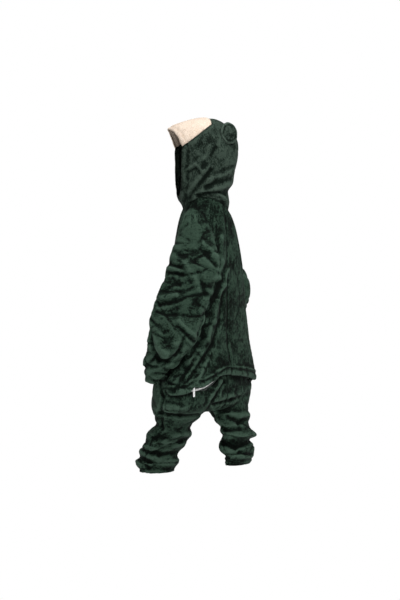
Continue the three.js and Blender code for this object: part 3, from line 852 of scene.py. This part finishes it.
def shaded(tree, colour, shade):
    """A colour made lighter or darker by a factor."""
    values = {0: 1.0, 6: colour, 7: shade}
    made = node(tree, "ShaderNodeMix", values, data_type="RGBA", blend_type="MULTIPLY")
    return made.outputs[2]


def ramp_of(tree, value, shades):
    """A colour by a value, from shades at places on its scale."""
    ramp = node(tree, "ShaderNodeValToRGB", {"Fac": value})
    stops = ramp.color_ramp.elements
    while len(stops) < len(shades):
        stops.new(0.5)
    for stop, (place, colour) in zip(stops, shades):
        stop.position = place
        stop.color = (*colour, 1)
    return ramp.outputs["Color"]


def nap_group():
    """Patches of pile brushed to and fro, with painted shade in the folds' troughs and painted
    highlights on their ridges: 0 where it is dark and 1 where it is light.
    """
    group, given, result = group_of(
        "brushed_nap",
        [("Patch", "NodeSocketFloat", 34.0), ("Offset", "NodeSocketFloat", 0.0)],
        [("Nap", "NodeSocketFloat")],
    )
    place = node(group, "ShaderNodeTexCoord").outputs["Object"]
    spot = node(group, "ShaderNodeCombineXYZ", {2: given.outputs["Offset"]}).outputs[0]
    place = node(group, "ShaderNodeVectorMath", {0: place, 1: spot}, operation="ADD").outputs[0]
    wander = node(group, "ShaderNodeTexNoise", {"Vector": place, "Scale": 24.0, "Detail": 2.0})
    pull = {0: wander.outputs["Color"], 1: (0.028, 0.028, 0.028), 2: place}
    pulled = node(group, "ShaderNodeVectorMath", pull, operation="MULTIPLY_ADD").outputs[0]
    patch = given.outputs["Patch"]
    finer = sum_of(group, "MULTIPLY", patch, 4.2)
    both = []  # strokes down the cloth, and strokes across it
    for stretch in ((1.0, 1.0, 0.55), (0.6, 0.6, 1.5)):
        stroke = node(group, "ShaderNodeMapping", {"Vector": pulled, "Scale": stretch}).outputs[0]
        broad = noise_at(group, stroke, patch, 5.0, Roughness=0.62)
        small = noise_at(group, stroke, finer, 4.0, Roughness=0.7)
        both.append(sum_of(group, "ADD", broad, small))
    crosswise = node(group, "ShaderNodeAttribute", attribute_name="across").outputs["Fac"]
    brushed = node(group, "ShaderNodeMix", {0: crosswise, 2: both[0], 3: both[1]}).outputs[0]
    swathe = noise_at(group, pulled, 10.0, 3.0, Distortion=1.2)
    drawn = node(group, "ShaderNodeMapping", {"Vector": pulled, "Scale": (1.0, 1.0, 0.45)})
    grain = noise_at(group, drawn.outputs[0], 520.0, 2.0)
    # the fold field: painted shade in the troughs, painted light on the ridges
    ridge_light_and_trough_shade = node(group, "ShaderNodeAttribute", attribute_name="fold").outputs["Fac"]
    total = sum_of(group, "MULTIPLY", brushed, 0.5)
    for part, share in ((swathe, 0.42), (grain, 0.36), (ridge_light_and_trough_shade, 0.13), (crosswise, 0.022)):
        total = sum_of(group, "MULTIPLY_ADD", part, share, total)
    edge = between(group, total, 0.785, 0.992, 0.0, 1.0, interpolation_type="SMOOTHSTEP")
    # a painted highlight along the crests of the folds
    painted_crest_highlight = between(group, ridge_light_and_trough_shade, 0.35, 1.0, 0.0, 0.18)
    lit = sum_of(group, "MULTIPLY_ADD", edge, 0.80, painted_crest_highlight)
    fed(group, result, {"Nap": lit})
    return group


def pile_group():
    """The pile itself: tufts and fibres as a normal, and their light and dark tips."""
    group, given, result = group_of(
        "pile",
        [("Tuft", "NodeSocketFloat", 420.0), ("Strength", "NodeSocketFloat", 0.5)],
        [("Normal", "NodeSocketVector"), ("Tip", "NodeSocketFloat")],
    )
    place = node(group, "ShaderNodeTexCoord").outputs["Object"]
    tuft = noise_at(group, place, given.outputs["Tuft"], 3.0)
    lie = noise_at(group, place, 95.0, 4.0)
    crush = noise_at(group, place, 36.0, 3.0, Distortion=0.8)
    fibre = noise_at(group, place, 1500.0, 1.0)
    height = tuft
    for part, share in ((lie, 2.4), (crush, 6.5), (fibre, 0.35)):
        height = sum_of(group, "MULTIPLY_ADD", part, share, height)
    values = {"Height": height, "Strength": given.outputs["Strength"], "Distance": 0.0016}
    bump = node(group, "ShaderNodeBump", values)
    fed(group, result, {"Normal": bump.outputs["Normal"], "Tip": tuft})
    return group


brushed_nap = nap_group()
pile = pile_group()


def plush_material(name, shades, patch, offset, sheen, sheen_tint, ruffled=0.5):
    """shades are the colours of the pile from dark to light at places on the nap's scale."""
    material, tree, shader = material_of(name)
    nap = node(tree, "ShaderNodeGroup", node_tree=brushed_nap)
    fed(tree, nap, {"Patch": patch, "Offset": offset})
    fur = fed(tree, node(tree, "ShaderNodeGroup", node_tree=pile), {"Strength": ruffled})
    colour = ramp_of(tree, nap.outputs["Nap"], shades)
    tip = between(tree, fur.outputs["Tip"], 0.3, 0.7, 0.72, 1.28)
    values = {
        "Base Color": shaded(tree, colour, tip),
        "Normal": fur.outputs["Normal"],
        "Roughness": 0.78,
        "Specular IOR Level": 0.05,
        "Sheen Weight": sheen,
        "Sheen Roughness": 0.4,
        "Sheen Tint": (*sheen_tint, 1),
    }
    fed(tree, shader, values)
    return material


# The nap's scale carries the painted shade and highlights of the folds: above 0.80 its colours come only
# with the painted highlight on their crests.
GREEN = [
    (0.0, (0.0004, 0.0014, 0.0007)),
    (0.26, (0.0019, 0.0054, 0.0032)),
    (0.48, (0.0050, 0.0119, 0.0075)),
    (0.80, (0.0171, 0.0328, 0.0222)),
    (1.0, (0.0320, 0.0560, 0.0400)),
]
green_plush = plush_material("green_plush", GREEN, 52.0, 0.0, 0.025, (0.50, 0.66, 0.57))


# --- Panels of the body, sleeves and legs ---
# The one skin is cut along its seams into the pieces that a maker sews together, each a thin
# shell of plush as thick as its backing and pile.
THICK = 0.0024


def split_face(face, layer):
    """Cuts a face between two corners on the seam where the rest lies on both sides of it."""
    corners = list(face.verts)
    values = [corner[layer] for corner in corners]
    if min(values) >= 0 or max(values) <= 0:
        return
    for a, b in combinations([k for k, value in enumerate(values) if value == 0], 2):
        inner, outer = values[a + 1 : b], values[b + 1 :] + values[:a]
        if not inner or not outer:
            continue
        if min(inner) > 0 > max(outer) or max(inner) < 0 < min(outer) or len(corners) > 4:
            fresh = bmesh.utils.face_split(face, corners[a], corners[b])[0]
            split_face(face, layer)
            split_face(fresh, layer)
            return


def cut_along(bm, name):
    """Cuts a mesh along the line where a seam's field changes sign."""
    layer = bm.verts.layers.float[name]
    touched = {}  # faces in the order met, so that every run cuts them alike
    for corner in bm.verts:
        if abs(corner[layer]) < 0.5:
            corner[layer] = 0.0
            touched.update(dict.fromkeys(corner.link_faces))
    for edge in [e for e in bm.edges if e.verts[0][layer] * e.verts[1][layer] < 0]:
        start, end = edge.verts
        share = start[layer] / (start[layer] - end[layer])
        fresh = bmesh.utils.edge_split(edge, start, share)[1]
        fresh[layer] = 0.0
        touched.update(dict.fromkeys(fresh.link_faces))
    for face in touched:
        split_face(face, layer)


def panels_of(mesh, seams, label_of):
    """Cuts a mesh along its seams, and gives points, faces and fields by each face's label."""
    bm = bmesh.new()
    bm.from_mesh(mesh)
    for name in seams:
        cut_along(bm, name)
    bm.verts.index_update()
    names = list(fields_of(mesh))
    layers = [bm.verts.layers.float[name] for name in names]
    values = np.array([[corner[layer] for layer in layers] for corner in bm.verts])
    places = np.array([corner.co[:] for corner in bm.verts])
    lie = {name: values[:, names.index(name)] for name in ("fold", "across") if name in names}
    made = {}
    for face in bm.faces:
        corners = [corner.index for corner in face.verts]
        label = label_of(dict(zip(names, values[corners].mean(0))))
        if label:
            made.setdefault(label, []).append(corners)
    bm.free()
    return {label: (places, faces, lie) for label, faces in made.items()}


def fields_of(mesh):
    return [a.name for a in mesh.attributes if a.data_type == "FLOAT" and a.domain == "POINT"]


def largest_group(faces):
    """The faces of the largest part that hangs together, without stray scraps."""
    root = {}

    def find(a):
        while root.setdefault(a, a) != a:
            root[a] = root[root[a]]
            a = root[a]
        return a

    for corners in faces:
        first = find(corners[0])
        for corner in corners[1:]:
            root[find(corner)] = first
    groups = {}
    for corners in faces:
        groups.setdefault(find(corners[0]), []).append(corners)
    return max(groups.values(), key=len)


def walled(name, places, faces, material, thick, offset):
    """A smooth piece with its thickness: inward for an offset of -1, both ways for 0."""
    made = bpy.data.meshes.new(name)
    made.from_pydata(places.tolist(), [], faces)
    made.shade_smooth()
    made.materials.append(material)
    piece = placed(name, made)
    wall = piece.modifiers.new("thickness", "SOLIDIFY")
    wall.thickness = thick
    wall.offset = offset
    return piece


def shell(name, places, faces, lie, material):
    """A panel: its face as a mesh with the fields of its nap and of its painted fold shade, and its
    thickness inward.
    """
    faces = largest_group(faces)
    used = sorted({corner for corners in faces for corner in corners})
    number = {corner: k for k, corner in enumerate(used)}
    faces = [[number[c] for c in corners] for corners in faces]
    piece = walled(name, places[used], faces, material, THICK, -1)
    keep(piece.data, {field: values[used] for field, values in lie.items()})
    return piece


def body_label(at):
    side = "left" if at["centre"] > 0 else "right"
    if at["foot"] < 0 or at["neck"] < 0 or at["front_slot"] > 0 or at["groove"] > 0:
        return None
    for sleeve in ("left", "right"):
        if at["armhole_" + sleeve] < 0:
            past = at["cuff_" + sleeve]
            if past > CASING_END:
                return None
            return ("sleeve_hem_" if past > 0 else "sleeve_") + sleeve
    if at["casing"] < 0:
        return "leg_hem_" + side
    if at["side"] < 0:
        return "front_" + side
    return ("back_" if at["upper"] > 0 else "seat_") + side


for sleeve in ("left", "right"):
    keep(mesh, {"end_" + sleeve: fields["cuff_" + sleeve] - CASING_END})
SEAMS = (
    ["armhole_left", "armhole_right", "cuff_left", "cuff_right", "end_left", "end_right"]
    + ["side", "centre", "groove", "casing", "foot", "neck", "front_slot"]
)
cut_pieces = panels_of(mesh, SEAMS, body_label)
for name, (places, faces, lie) in sorted(cut_pieces.items()):
    piece = shell(name + "_cloth", places, faces, lie, green_plush)
    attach(piece, "garment")
    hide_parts(name)
bpy.data.objects.remove(skin)

# --- The hood ---
# Two halves of the same plush with a seam over the crown, sewn to a cream brow panel in front
# and to the neck below. It looks to the wearer's left, and its face is open.
HOOD_YAW = -45.0  # degrees: the way it faces, seen from above
HOOD = [  # z, reach to the face, reach to the nape, half width
    (12, 72, 70, 72),
    (26, 80, 68, 76),
    (38, 86, 66, 77),
    (60, 92, 80, 81),
    (84, 96, 84, 84),
    (107, 98, 89, 86),
    (130, 101, 94, 87),
    (165, 106, 97, 86),
    (190, 113, 93, 80),
    (210, 112, 82, 71),
    (220, 107, 75, 65),
    (228, 97, 66, 58),
    (236, 78, 55, 49),
    (243, 57, 42, 38),
    (248, 37, 29, 25),
    (252, 14, 11, 9),
]
FACE_EDGE = 79  # how far forward the face opening's edge stands
BROW_FOOT = 165  # height of the brow's lower corners
BROW_RIM = [(165, 79), (178, 84), (191, 89), (206, 98), (213, 104)]  # height, and how far forward
BROW_FLARE = 1.37  # how far forward to a millimetre of height above those
BROW_SEAM = (-9, 232)  # where its seam reaches the crown
HOOD_ROUND = 150
yaw = math.radians(HOOD_YAW)
face_way = np.array([math.cos(yaw), math.sin(yaw)])
wide_way = np.array([-math.sin(yaw), math.cos(yaw)])


def hood_ring(z, count=HOOD_ROUND):
    t = np.arange(count) / count * 2 * math.pi - math.pi
    face = np.where(np.cos(t) > 0, smooth(HOOD, 1, z), smooth(HOOD, 2, z)) * signed(np.cos(t), 0.95)
    wide = smooth(HOOD, 3, z) * signed(np.sin(t), 0.95)
    level = np.outer(face, face_way) + np.outer(wide, wide_way)
    lift = 0.35 * neck_height(level[:, 0], level[:, 1]) * max(0.0, min(1.0, (38 - z) / 12))
    return np.column_stack([level, z + lift])


def neck_ring(count=HOOD_ROUND):
    t = np.arange(count) / count * 2 * math.pi - math.pi + yaw
    x_, y_ = 71.5 * np.cos(t), np.where(np.sin(t) > 0, 65.5, 61.5) * np.sin(t)
    return np.column_stack([x_, y_, neck_height(x_, y_) - 0.6])


foot, first = neck_ring(), hood_ring(12)
rings = [foot, foot * 0.66 + first * 0.34, foot * 0.33 + first * 0.67]
rings += [hood_ring(level) for level in np.concatenate([np.arange(12, 212, 4), np.arange(212, 240, 3)])]
rings += [hood_ring(level) for level in (240, 242.5, 244.7, 246.6, 248.2, 249.6, 250.8, 251.6, 252)]
places, faces = loft(rings)
faces[-2:] = []
crown = len(places)
places = np.vstack([places, rings[-1].mean(0)])
last = crown - HOOD_ROUND
faces += [(last + k, last + (k + 1) % HOOD_ROUND, crown) for k in range(HOOD_ROUND)]
hood_mesh = turned_outward("hood", places, faces)
HOOD_CREASES_NEAR = [  # as for the body
    (-46, 20, 17, 98, -6, 5),  # from the chin up and back
    (-52, 34, 10, 108, 3, 6),
    (-34, 14, 26, 84, 3, 5),
    (-20, 12, 34, 70, -3, 5),
    (-49, 101, -29, 114, 3, 4),  # the peak at the cheek
    (-29, 114, -6, 90, 3, 4),
    (-46, 92, -26, 102, -4, 4),
    (-26, 102, -10, 82, -3, 4),
    (12, 126, 28, 162, -3, 4),
    (-2, 122, 16, 140, -2, 4),
    (-4, 130, 14, 168, 2, 7),
    (3, 48, 76, 76, -6, 6),  # across the nape
    (10, 66, 84, 98, 4, 7),
    (24, 84, 80, 112, -3, 5),
    (-6, 34, 70, 54, 5, 7),
    (-23, 25, 10, 33, -7, 4),  # over the shoulder
    (10, 33, 44, 34, -7, 4),
    (44, 34, 60, 28, -5, 4),
    (60, 34, 84, 42, -6, 7),
    (56, 18, 78, -14, 6, 12),  # the roll at the nape
    (44, 20, 60, -6, -4, 5),
    (88, 150, 66, 66, 3, 12),
    (40, 168, 60, 110, 3, 14),
    (-66, 150, -60, 60, 2, 9),
]
HOOD_CREASES_FAR = [
    (-74, 40, -20, 96, -5, 9),
    (-60, 30, -6, 74, 4, 9),
    (-40, 18, 30, 40, -5, 8),
    (-20, 130, 20, 120, -3, 9),
    (30, 60, 70, 84, -4, 8),
    (10, 80, 60, 110, 3, 10),
    (-30, 160, -20, 100, 3, 12),
]
HOOD_CREASE_DEPTH = 1.0
HOOD_CRUMPLE = (20, 18, 1.5)
RIM_STAND = 1.6  # how far the turned edge stands out, and its row of stitches in
points = read(hood_mesh)
out = normals(hood_mesh)
x, y, z = (points * 1000).T
facing = np.column_stack([x, y]) @ face_way
across = np.column_stack([x, y]) @ wide_way
opening = np.where(z < 30, FACE_EDGE + (30 - z) * 0.1, FACE_EDGE)  # leans out below the chin
opening = np.where(z > BROW_FOOT, np.interp(z, *np.transpose(BROW_RIM)), opening)
rim_top, rim_out = BROW_RIM[-1]
opening = np.where(z > rim_top, rim_out + (z - rim_top) * BROW_FLARE, opening)
slope = (BROW_SEAM[1] - BROW_FOOT) / (FACE_EDGE - BROW_SEAM[0])
brow_line = np.where(facing < FACE_EDGE, BROW_FOOT + (FACE_EDGE - facing) * slope, BROW_FOOT)
brow_line = np.where(facing > FACE_EDGE, BROW_FOOT - (facing - FACE_EDGE) * 0.7, brow_line)
behind_seam = facing - BROW_SEAM[0] + (z - BROW_SEAM[1]) * 0.024
hood_fields = {
    "face": opening - facing,
    "brow": np.minimum((z - brow_line) * 0.77, behind_seam),
    "middle": across,
}
move = creased(points, out, HOOD_CREASES_NEAR, picture_near, HOOD_CREASE_DEPTH)
move += creased(points, out, HOOD_CREASES_FAR, -picture_near, HOOD_CREASE_DEPTH)
calm = np.clip((hood_fields["brow"] + 4) / 10, 0, 1)
move *= 1 - 0.8 * calm
move += crumple(points, *HOOD_CRUMPLE, 2.6) * (z > 16)
for name, deep_here in (("brow", 1.0), ("middle", np.where(hood_fields["brow"] > 0, 0.0, 0.6))):
    move -= SEAM_DEEP * deep_here * np.exp(-((hood_fields[name] / SEAM_WIDE) ** 2)) * (z > 4)
rim = np.exp(-(((hood_fields["face"] - 7) / 5) ** 2))  # the face opening's turned edge
move += RIM_STAND * (rim - np.exp(-(((hood_fields["face"] - 15) / 3.5) ** 2)))
points = points + out * move[:, None] / 1000
write(hood_mesh, points)
# kept for the painted shade and highlights of the hood's folds
hood_fields["fold"] = fold_field(hood_mesh, points)
keep(hood_mesh, hood_fields)


def hood_label(at):
    if at["face"] < 0:
        return None
    if at["brow"] > 0:
        return "hood_brow"
    return "hood_left" if at["middle"] > 0 else "hood_right"


# As for the green, above 0.80 the colour comes only with the painted highlight on the folds' crests.
CREAM = [
    (0.0, (0.45, 0.36, 0.285)),
    (0.35, (0.475, 0.39, 0.32)),
    (1.0, (0.50, 0.42, 0.345)),
]
cream_plush = plush_material("cream_plush", CREAM, 30.0, 3.0, 0.02, (1.0, 0.94, 0.86), 0.18)
# A lighter, greyer copy of the green plush for the hood and the ears: painted light, with smaller nap
# patches. Above 0.80 its colours come only with the painted highlight on the folds' crests.
LIT_HOOD_GREEN = [
    (0.0, (0.0014, 0.0038, 0.0023)),
    (0.28, (0.0056, 0.0105, 0.0074)),
    (0.52, (0.0115, 0.0195, 0.0142)),
    (0.80, (0.0240, 0.0365, 0.0280)),
    (1.0, (0.0370, 0.0540, 0.0420)),
]
lit_hood_plush = plush_material("lit_hood_plush", LIT_HOOD_GREEN, 72.0, 1.0, 0.035, (0.50, 0.62, 0.56))
hood_pieces = panels_of(hood_mesh, ["face", "brow", "middle"], hood_label)
for name, (places, faces, lie) in sorted(hood_pieces.items()):
    cream = name == "hood_brow"
    piece = shell(name + "_cloth", places, faces, lie, cream_plush if cream else lit_hood_plush)
    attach(piece, "garment")
    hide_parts(name)

# --- The ears ---
# Round padded discs of the same plush, front and back sewn round the rim and turned, the front
# pulled in by a row of stitches. They stand on the crown, cut to its curve.
EAR_FACE = -57
EAR_WIDE = 66
EAR_HEIGHT = 203
EAR_RADIUS = 27
EAR_TALL = 33
EAR_THICK = 8
EAR_LEAN = 12
EAR_TURN = 14
EAR_ROUND = 64
EAR_CENTRE = 0.03  # radius of the hole in the middle of its rings, as a share
EAR_RINGS = 16
for name, side_sign in (("left", 1), ("right", -1)):
    rings = []
    radii = np.linspace(EAR_CENTRE, 1, EAR_RINGS)
    for face_sign, shares in ((1, radii), (-1, radii[-2::-1])):
        for radius in shares:  # a crown, a rolled rim and the row of stitches between them
            t = np.arange(EAR_ROUND) / EAR_ROUND * 2 * math.pi
            puff = math.sqrt(max(0.0, 1 - radius**2.6)) * 0.95
            puff += 0.10 * math.exp(-(((radius - 0.86) / 0.09) ** 2))
            puff -= 0.22 * math.exp(-(((radius - 0.70) / 0.07) ** 2))
            wobble = 1 + 0.012 * np.sin(5 * t + side_sign) + 0.008 * np.sin(9 * t)
            ring = [
                EAR_RADIUS * radius * np.cos(t) * wobble,
                np.full(EAR_ROUND, EAR_THICK * face_sign * puff),
                EAR_TALL * radius * np.sin(t) * wobble,
            ]
            rings.append(np.column_stack(ring))
    places, faces = loft(rings)
    lean, spin = math.radians(side_sign * EAR_LEAN), math.radians(side_sign * EAR_TURN)
    px, py, pz = places.T
    py, pz = py * math.cos(lean) - pz * math.sin(lean), py * math.sin(lean) + pz * math.cos(lean)
    px, py = px * math.cos(spin) - py * math.sin(spin), px * math.sin(spin) + py * math.cos(spin)
    px, py, pz = px + EAR_FACE, py + side_sign * EAR_WIDE, pz + EAR_HEIGHT
    level = np.outer(px, face_way) + np.outer(py, wide_way)
    reach = np.where(px > 0, smooth(HOOD, 1, pz), smooth(HOOD, 2, pz))
    clear = (np.hypot(px / reach, py / smooth(HOOD, 3, pz)) - 1) * 80 + 1.5
    ear_mesh = turned_outward("ear", np.column_stack([level, pz]), faces)
    points = read(ear_mesh)
    points += normals(ear_mesh) * crumple(points, 30, 30, 1.0, side_sign * 5.0)[:, None] / 1000
    write(ear_mesh, points)
    # the fold field is kept for the ear's painted shade and highlights
    keep(ear_mesh, {"clear": clear, "fold": fold_field(ear_mesh, points, 8, 0.0016)})
    kept = panels_of(ear_mesh, ["clear"], lambda at: "ear" if at["clear"] > 0 else None)
    places, faces, lie = kept["ear"]
    piece = shell("ear_" + name + "_pad", places, faces, lie, lit_hood_plush)
    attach(piece, "garment")
    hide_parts("ear_" + name)

# --- The zips ---
# A woven tape each side, a row of nickel teeth on its edge, and the frame's own slider and pull
# tab. One zip runs round the seat under the blouse, the other down the front.
TAPE_UNDER = -3.3  # how far in from the cloth's face the tapes lie
TEETH_UNDER = -1.9
TAPE_THICK = 0.0010
TOOTH_PITCH = 2.6
TOOTH_ASIDE = 0.9  # of each row's middle from the zip's
TOOTH = (1.7, 4.2, 1.9)  # along the zip, across it, and out of it


def body_face(turns, heights, out=0.0):
    """Points on the plain face of the body, moved out, at degrees round and heights."""
    c, s = np.cos(np.radians(turns)), np.sin(np.radians(turns))
    half, deep, square = body_section(c, s, heights)
    across, through = (half + out) * signed(c, 2 / square), (deep + out) * signed(s, 2 / square)
    return np.column_stack([across, through, heights])


def front_face(aside, heights, out=0.0):
    """Points on the plain front of the body at distances from its middle and heights."""
    half, deep, square = body_section(1, -1, heights)
    share = (np.abs(aside) / (half + out)) ** square
    return np.column_stack([aside, -(deep + out) * (1 - share) ** (1 / square), heights])


def ribbon(name, rows, material):
    """A woven tape through rows of points across it."""
    count = len(rows[0])
    places = np.concatenate(rows) / 1000
    faces = []
    for r in range(len(rows) - 1):
        for k in range(count - 1):
            a, b = r * count + k, (r + 1) * count + k
            faces.append((a, a + 1, b + 1, b))
    return walled(name, places, faces, material, TAPE_THICK, 0)


def teeth(name, spots, ways, outs, material):
    """A row of teeth as one mesh: their middles, the way along the zip and the way out."""
    half_sizes = [size / 2000 for size in TOOTH]
    profile = [(-1, -1, -1), (1, -1, -1), (1, 1, -1), (-1, 1, -1)]
    profile += [(-0.7, -0.85, 1), (0.7, -0.85, 1), (0.7, 0.85, 1), (-0.7, 0.85, 1)]
    box = [(0, 3, 2, 1), (4, 5, 6, 7), (0, 1, 5, 4), (1, 2, 6, 5), (2, 3, 7, 6), (3, 0, 4, 7)]
    places, faces = [], []
    for spot, way, out_way in zip(spots, ways, outs):
        way = way / np.linalg.norm(way)
        out_way = out_way - way * (out_way @ way)
        out_way = out_way / np.linalg.norm(out_way)
        side = np.cross(way, out_way)
        start = len(places)
        ways_out = np.stack([way, side, out_way]) * np.array(half_sizes)[:, None]
        places += [spot / 1000 + np.array(corner) @ ways_out for corner in profile]
        faces += [tuple(start + k for k in f) for f in box]
    made = bpy.data.meshes.new(name)
    made.from_pydata([tuple(p) for p in places], [], faces)
    made.materials.append(material)
    piece = placed(name, made)
    edge = piece.modifiers.new("rounded", "BEVEL")
    edge.width = 0.00025
    edge.segments = 1
    return piece


def weave_group():
    """A herringbone of fine threads, as light and dark and as a normal."""
    group, given, result = group_of(
        "tape_weave",
        [("Threads", "NodeSocketFloat", 900.0)],
        [("Shade", "NodeSocketFloat"), ("Normal", "NodeSocketVector")],
    )
    place = node(group, "ShaderNodeTexCoord").outputs["Object"]
    waves = []
    for turned in (0.62, -0.62):
        lie = node(group, "ShaderNodeMapping", {"Vector": place, "Rotation": (turned, turned, 0.4)})
        threads = {"Vector": lie.outputs[0], "Scale": given.outputs["Threads"], "Distortion": 0.6}
        waves.append(node(group, "ShaderNodeTexWave", threads).outputs["Fac"])
    both = sum_of(group, "MULTIPLY", *waves)
    shade = between(group, both, 0.0, 1.0, 0.6, 1.25)
    bump = node(group, "ShaderNodeBump", {"Height": both, "Strength": 0.6, "Distance": 0.0004})
    fed(group, result, {"Shade": shade, "Normal": bump.outputs["Normal"]})
    return group


woven_tape, tree, shader = material_of("woven_tape")
weave = node(tree, "ShaderNodeGroup", node_tree=weave_group())
fed(tree, weave, {"Threads": 420.0})
TAPE_GREEN = (0.012, 0.022, 0.016, 1)
tape_colour = shaded(tree, TAPE_GREEN, weave.outputs["Shade"])
values = {"Base Color": tape_colour, "Normal": weave.outputs["Normal"], "Roughness": 0.7}
fed(tree, shader, values)


def nickel_material():
    """Bright nickel with a handled surface: soft smears and small scratches."""
    material, tree, shader = material_of("nickel")
    place = node(tree, "ShaderNodeTexCoord").outputs["Object"]
    smear = noise_at(tree, place, 260.0, 4.0)
    tint = ramp_of(tree, smear, [(0.3, (0.72, 0.72, 0.71)), (0.7, (0.93, 0.93, 0.92))])
    drawn = node(tree, "ShaderNodeMapping", {"Vector": place, "Scale": (3200.0, 3200.0, 260.0)})
    lines = noise_at(tree, drawn.outputs[0], 1.0, 2.0)
    bump = node(tree, "ShaderNodeBump", {"Height": lines, "Strength": 0.25, "Distance": 0.0002})
    values = {
        "Base Color": tint,
        "Roughness": between(tree, smear, 0.3, 0.7, 0.16, 0.36),
        "Normal": bump.outputs["Normal"],
        "Metallic": 1.0,
    }
    fed(tree, shader, values)
    return material


nickel = nickel_material()
turns = np.linspace(6, 174, 280)  # degrees round the back, from the left side
line = smooth(ZIP_LINE, 1, turns)
ring_line = body_face(turns, line)
run = np.concatenate([[0], np.cumsum(np.linalg.norm(np.diff(ring_line, axis=0), axis=1))])
for name, low, high, sign in (("upper", 0.6, 8.0, 1), ("lower", -11.0, -0.6, -1)):
    tooth_up = sign * TOOTH_ASIDE
    rows = [body_face(turns, line + up, TAPE_UNDER) for up in np.linspace(low, high, 6)]
    tape = ribbon(f"seat_zip_{name}_tape", rows, woven_tape)
    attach(tape, "garment")
    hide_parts("seat_zip_tape_" + name)
    at_run = np.arange(1.0 + (TOOTH_PITCH / 2 if sign < 0 else 0.0), run[-1], TOOTH_PITCH)
    tooth_turns = np.interp(at_run, run, turns)
    heights = smooth(ZIP_LINE, 1, tooth_turns) + tooth_up
    spots = body_face(tooth_turns, heights, TEETH_UNDER)
    ahead, behind = (
        body_face(near, smooth(ZIP_LINE, 1, near) + tooth_up)
        for near in (tooth_turns + 0.4, tooth_turns - 0.4)
    )
    outs = body_face(tooth_turns, heights, 1.0) - body_face(tooth_turns, heights, 0.0)
    row = teeth(f"seat_zip_{name}_teeth", spots, ahead - behind, outs, nickel)
    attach(row, "garment")
FRONT_TAPE = (-571, -21)  # the heights of the front zip's tapes, and of its teeth
FRONT_TEETH = (-568, -42)
front_heights = np.linspace(*FRONT_TAPE, 140)
for name, sign in (("left", 1), ("right", -1)):
    rows = [
        front_face(np.full(len(front_heights), sign * aside), front_heights, TAPE_UNDER)
        for aside in np.linspace(0.5, 13, 6)
    ]
    tape = ribbon(f"front_zip_{name}_tape", rows, woven_tape)
    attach(tape, "garment")
    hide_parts("front_zip_tape_" + name)
    start = FRONT_TEETH[0] + (TOOTH_PITCH / 2 if sign < 0 else 0.0)
    heights = np.arange(start, FRONT_TEETH[1], TOOTH_PITCH)
    aside = np.full(len(heights), sign * TOOTH_ASIDE)
    spots = front_face(aside, heights, TEETH_UNDER)
    ways = front_face(aside, heights + 2) - front_face(aside, heights - 2)
    outs = np.tile([0.0, -1.0, 0.0], (len(heights), 1))
    row = teeth(f"front_zip_{name}_teeth", spots, ways, outs, nickel)
    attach(row, "garment")
for name in ("seat_zip_slider", "seat_zip_pull", "front_zip_slider", "front_zip_pull"):
    for material_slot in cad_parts[name].material_slots:
        material_slot.material = nickel

size = {"cad": [list(v) for v in cad_box], "shown": [list(v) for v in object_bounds()]}
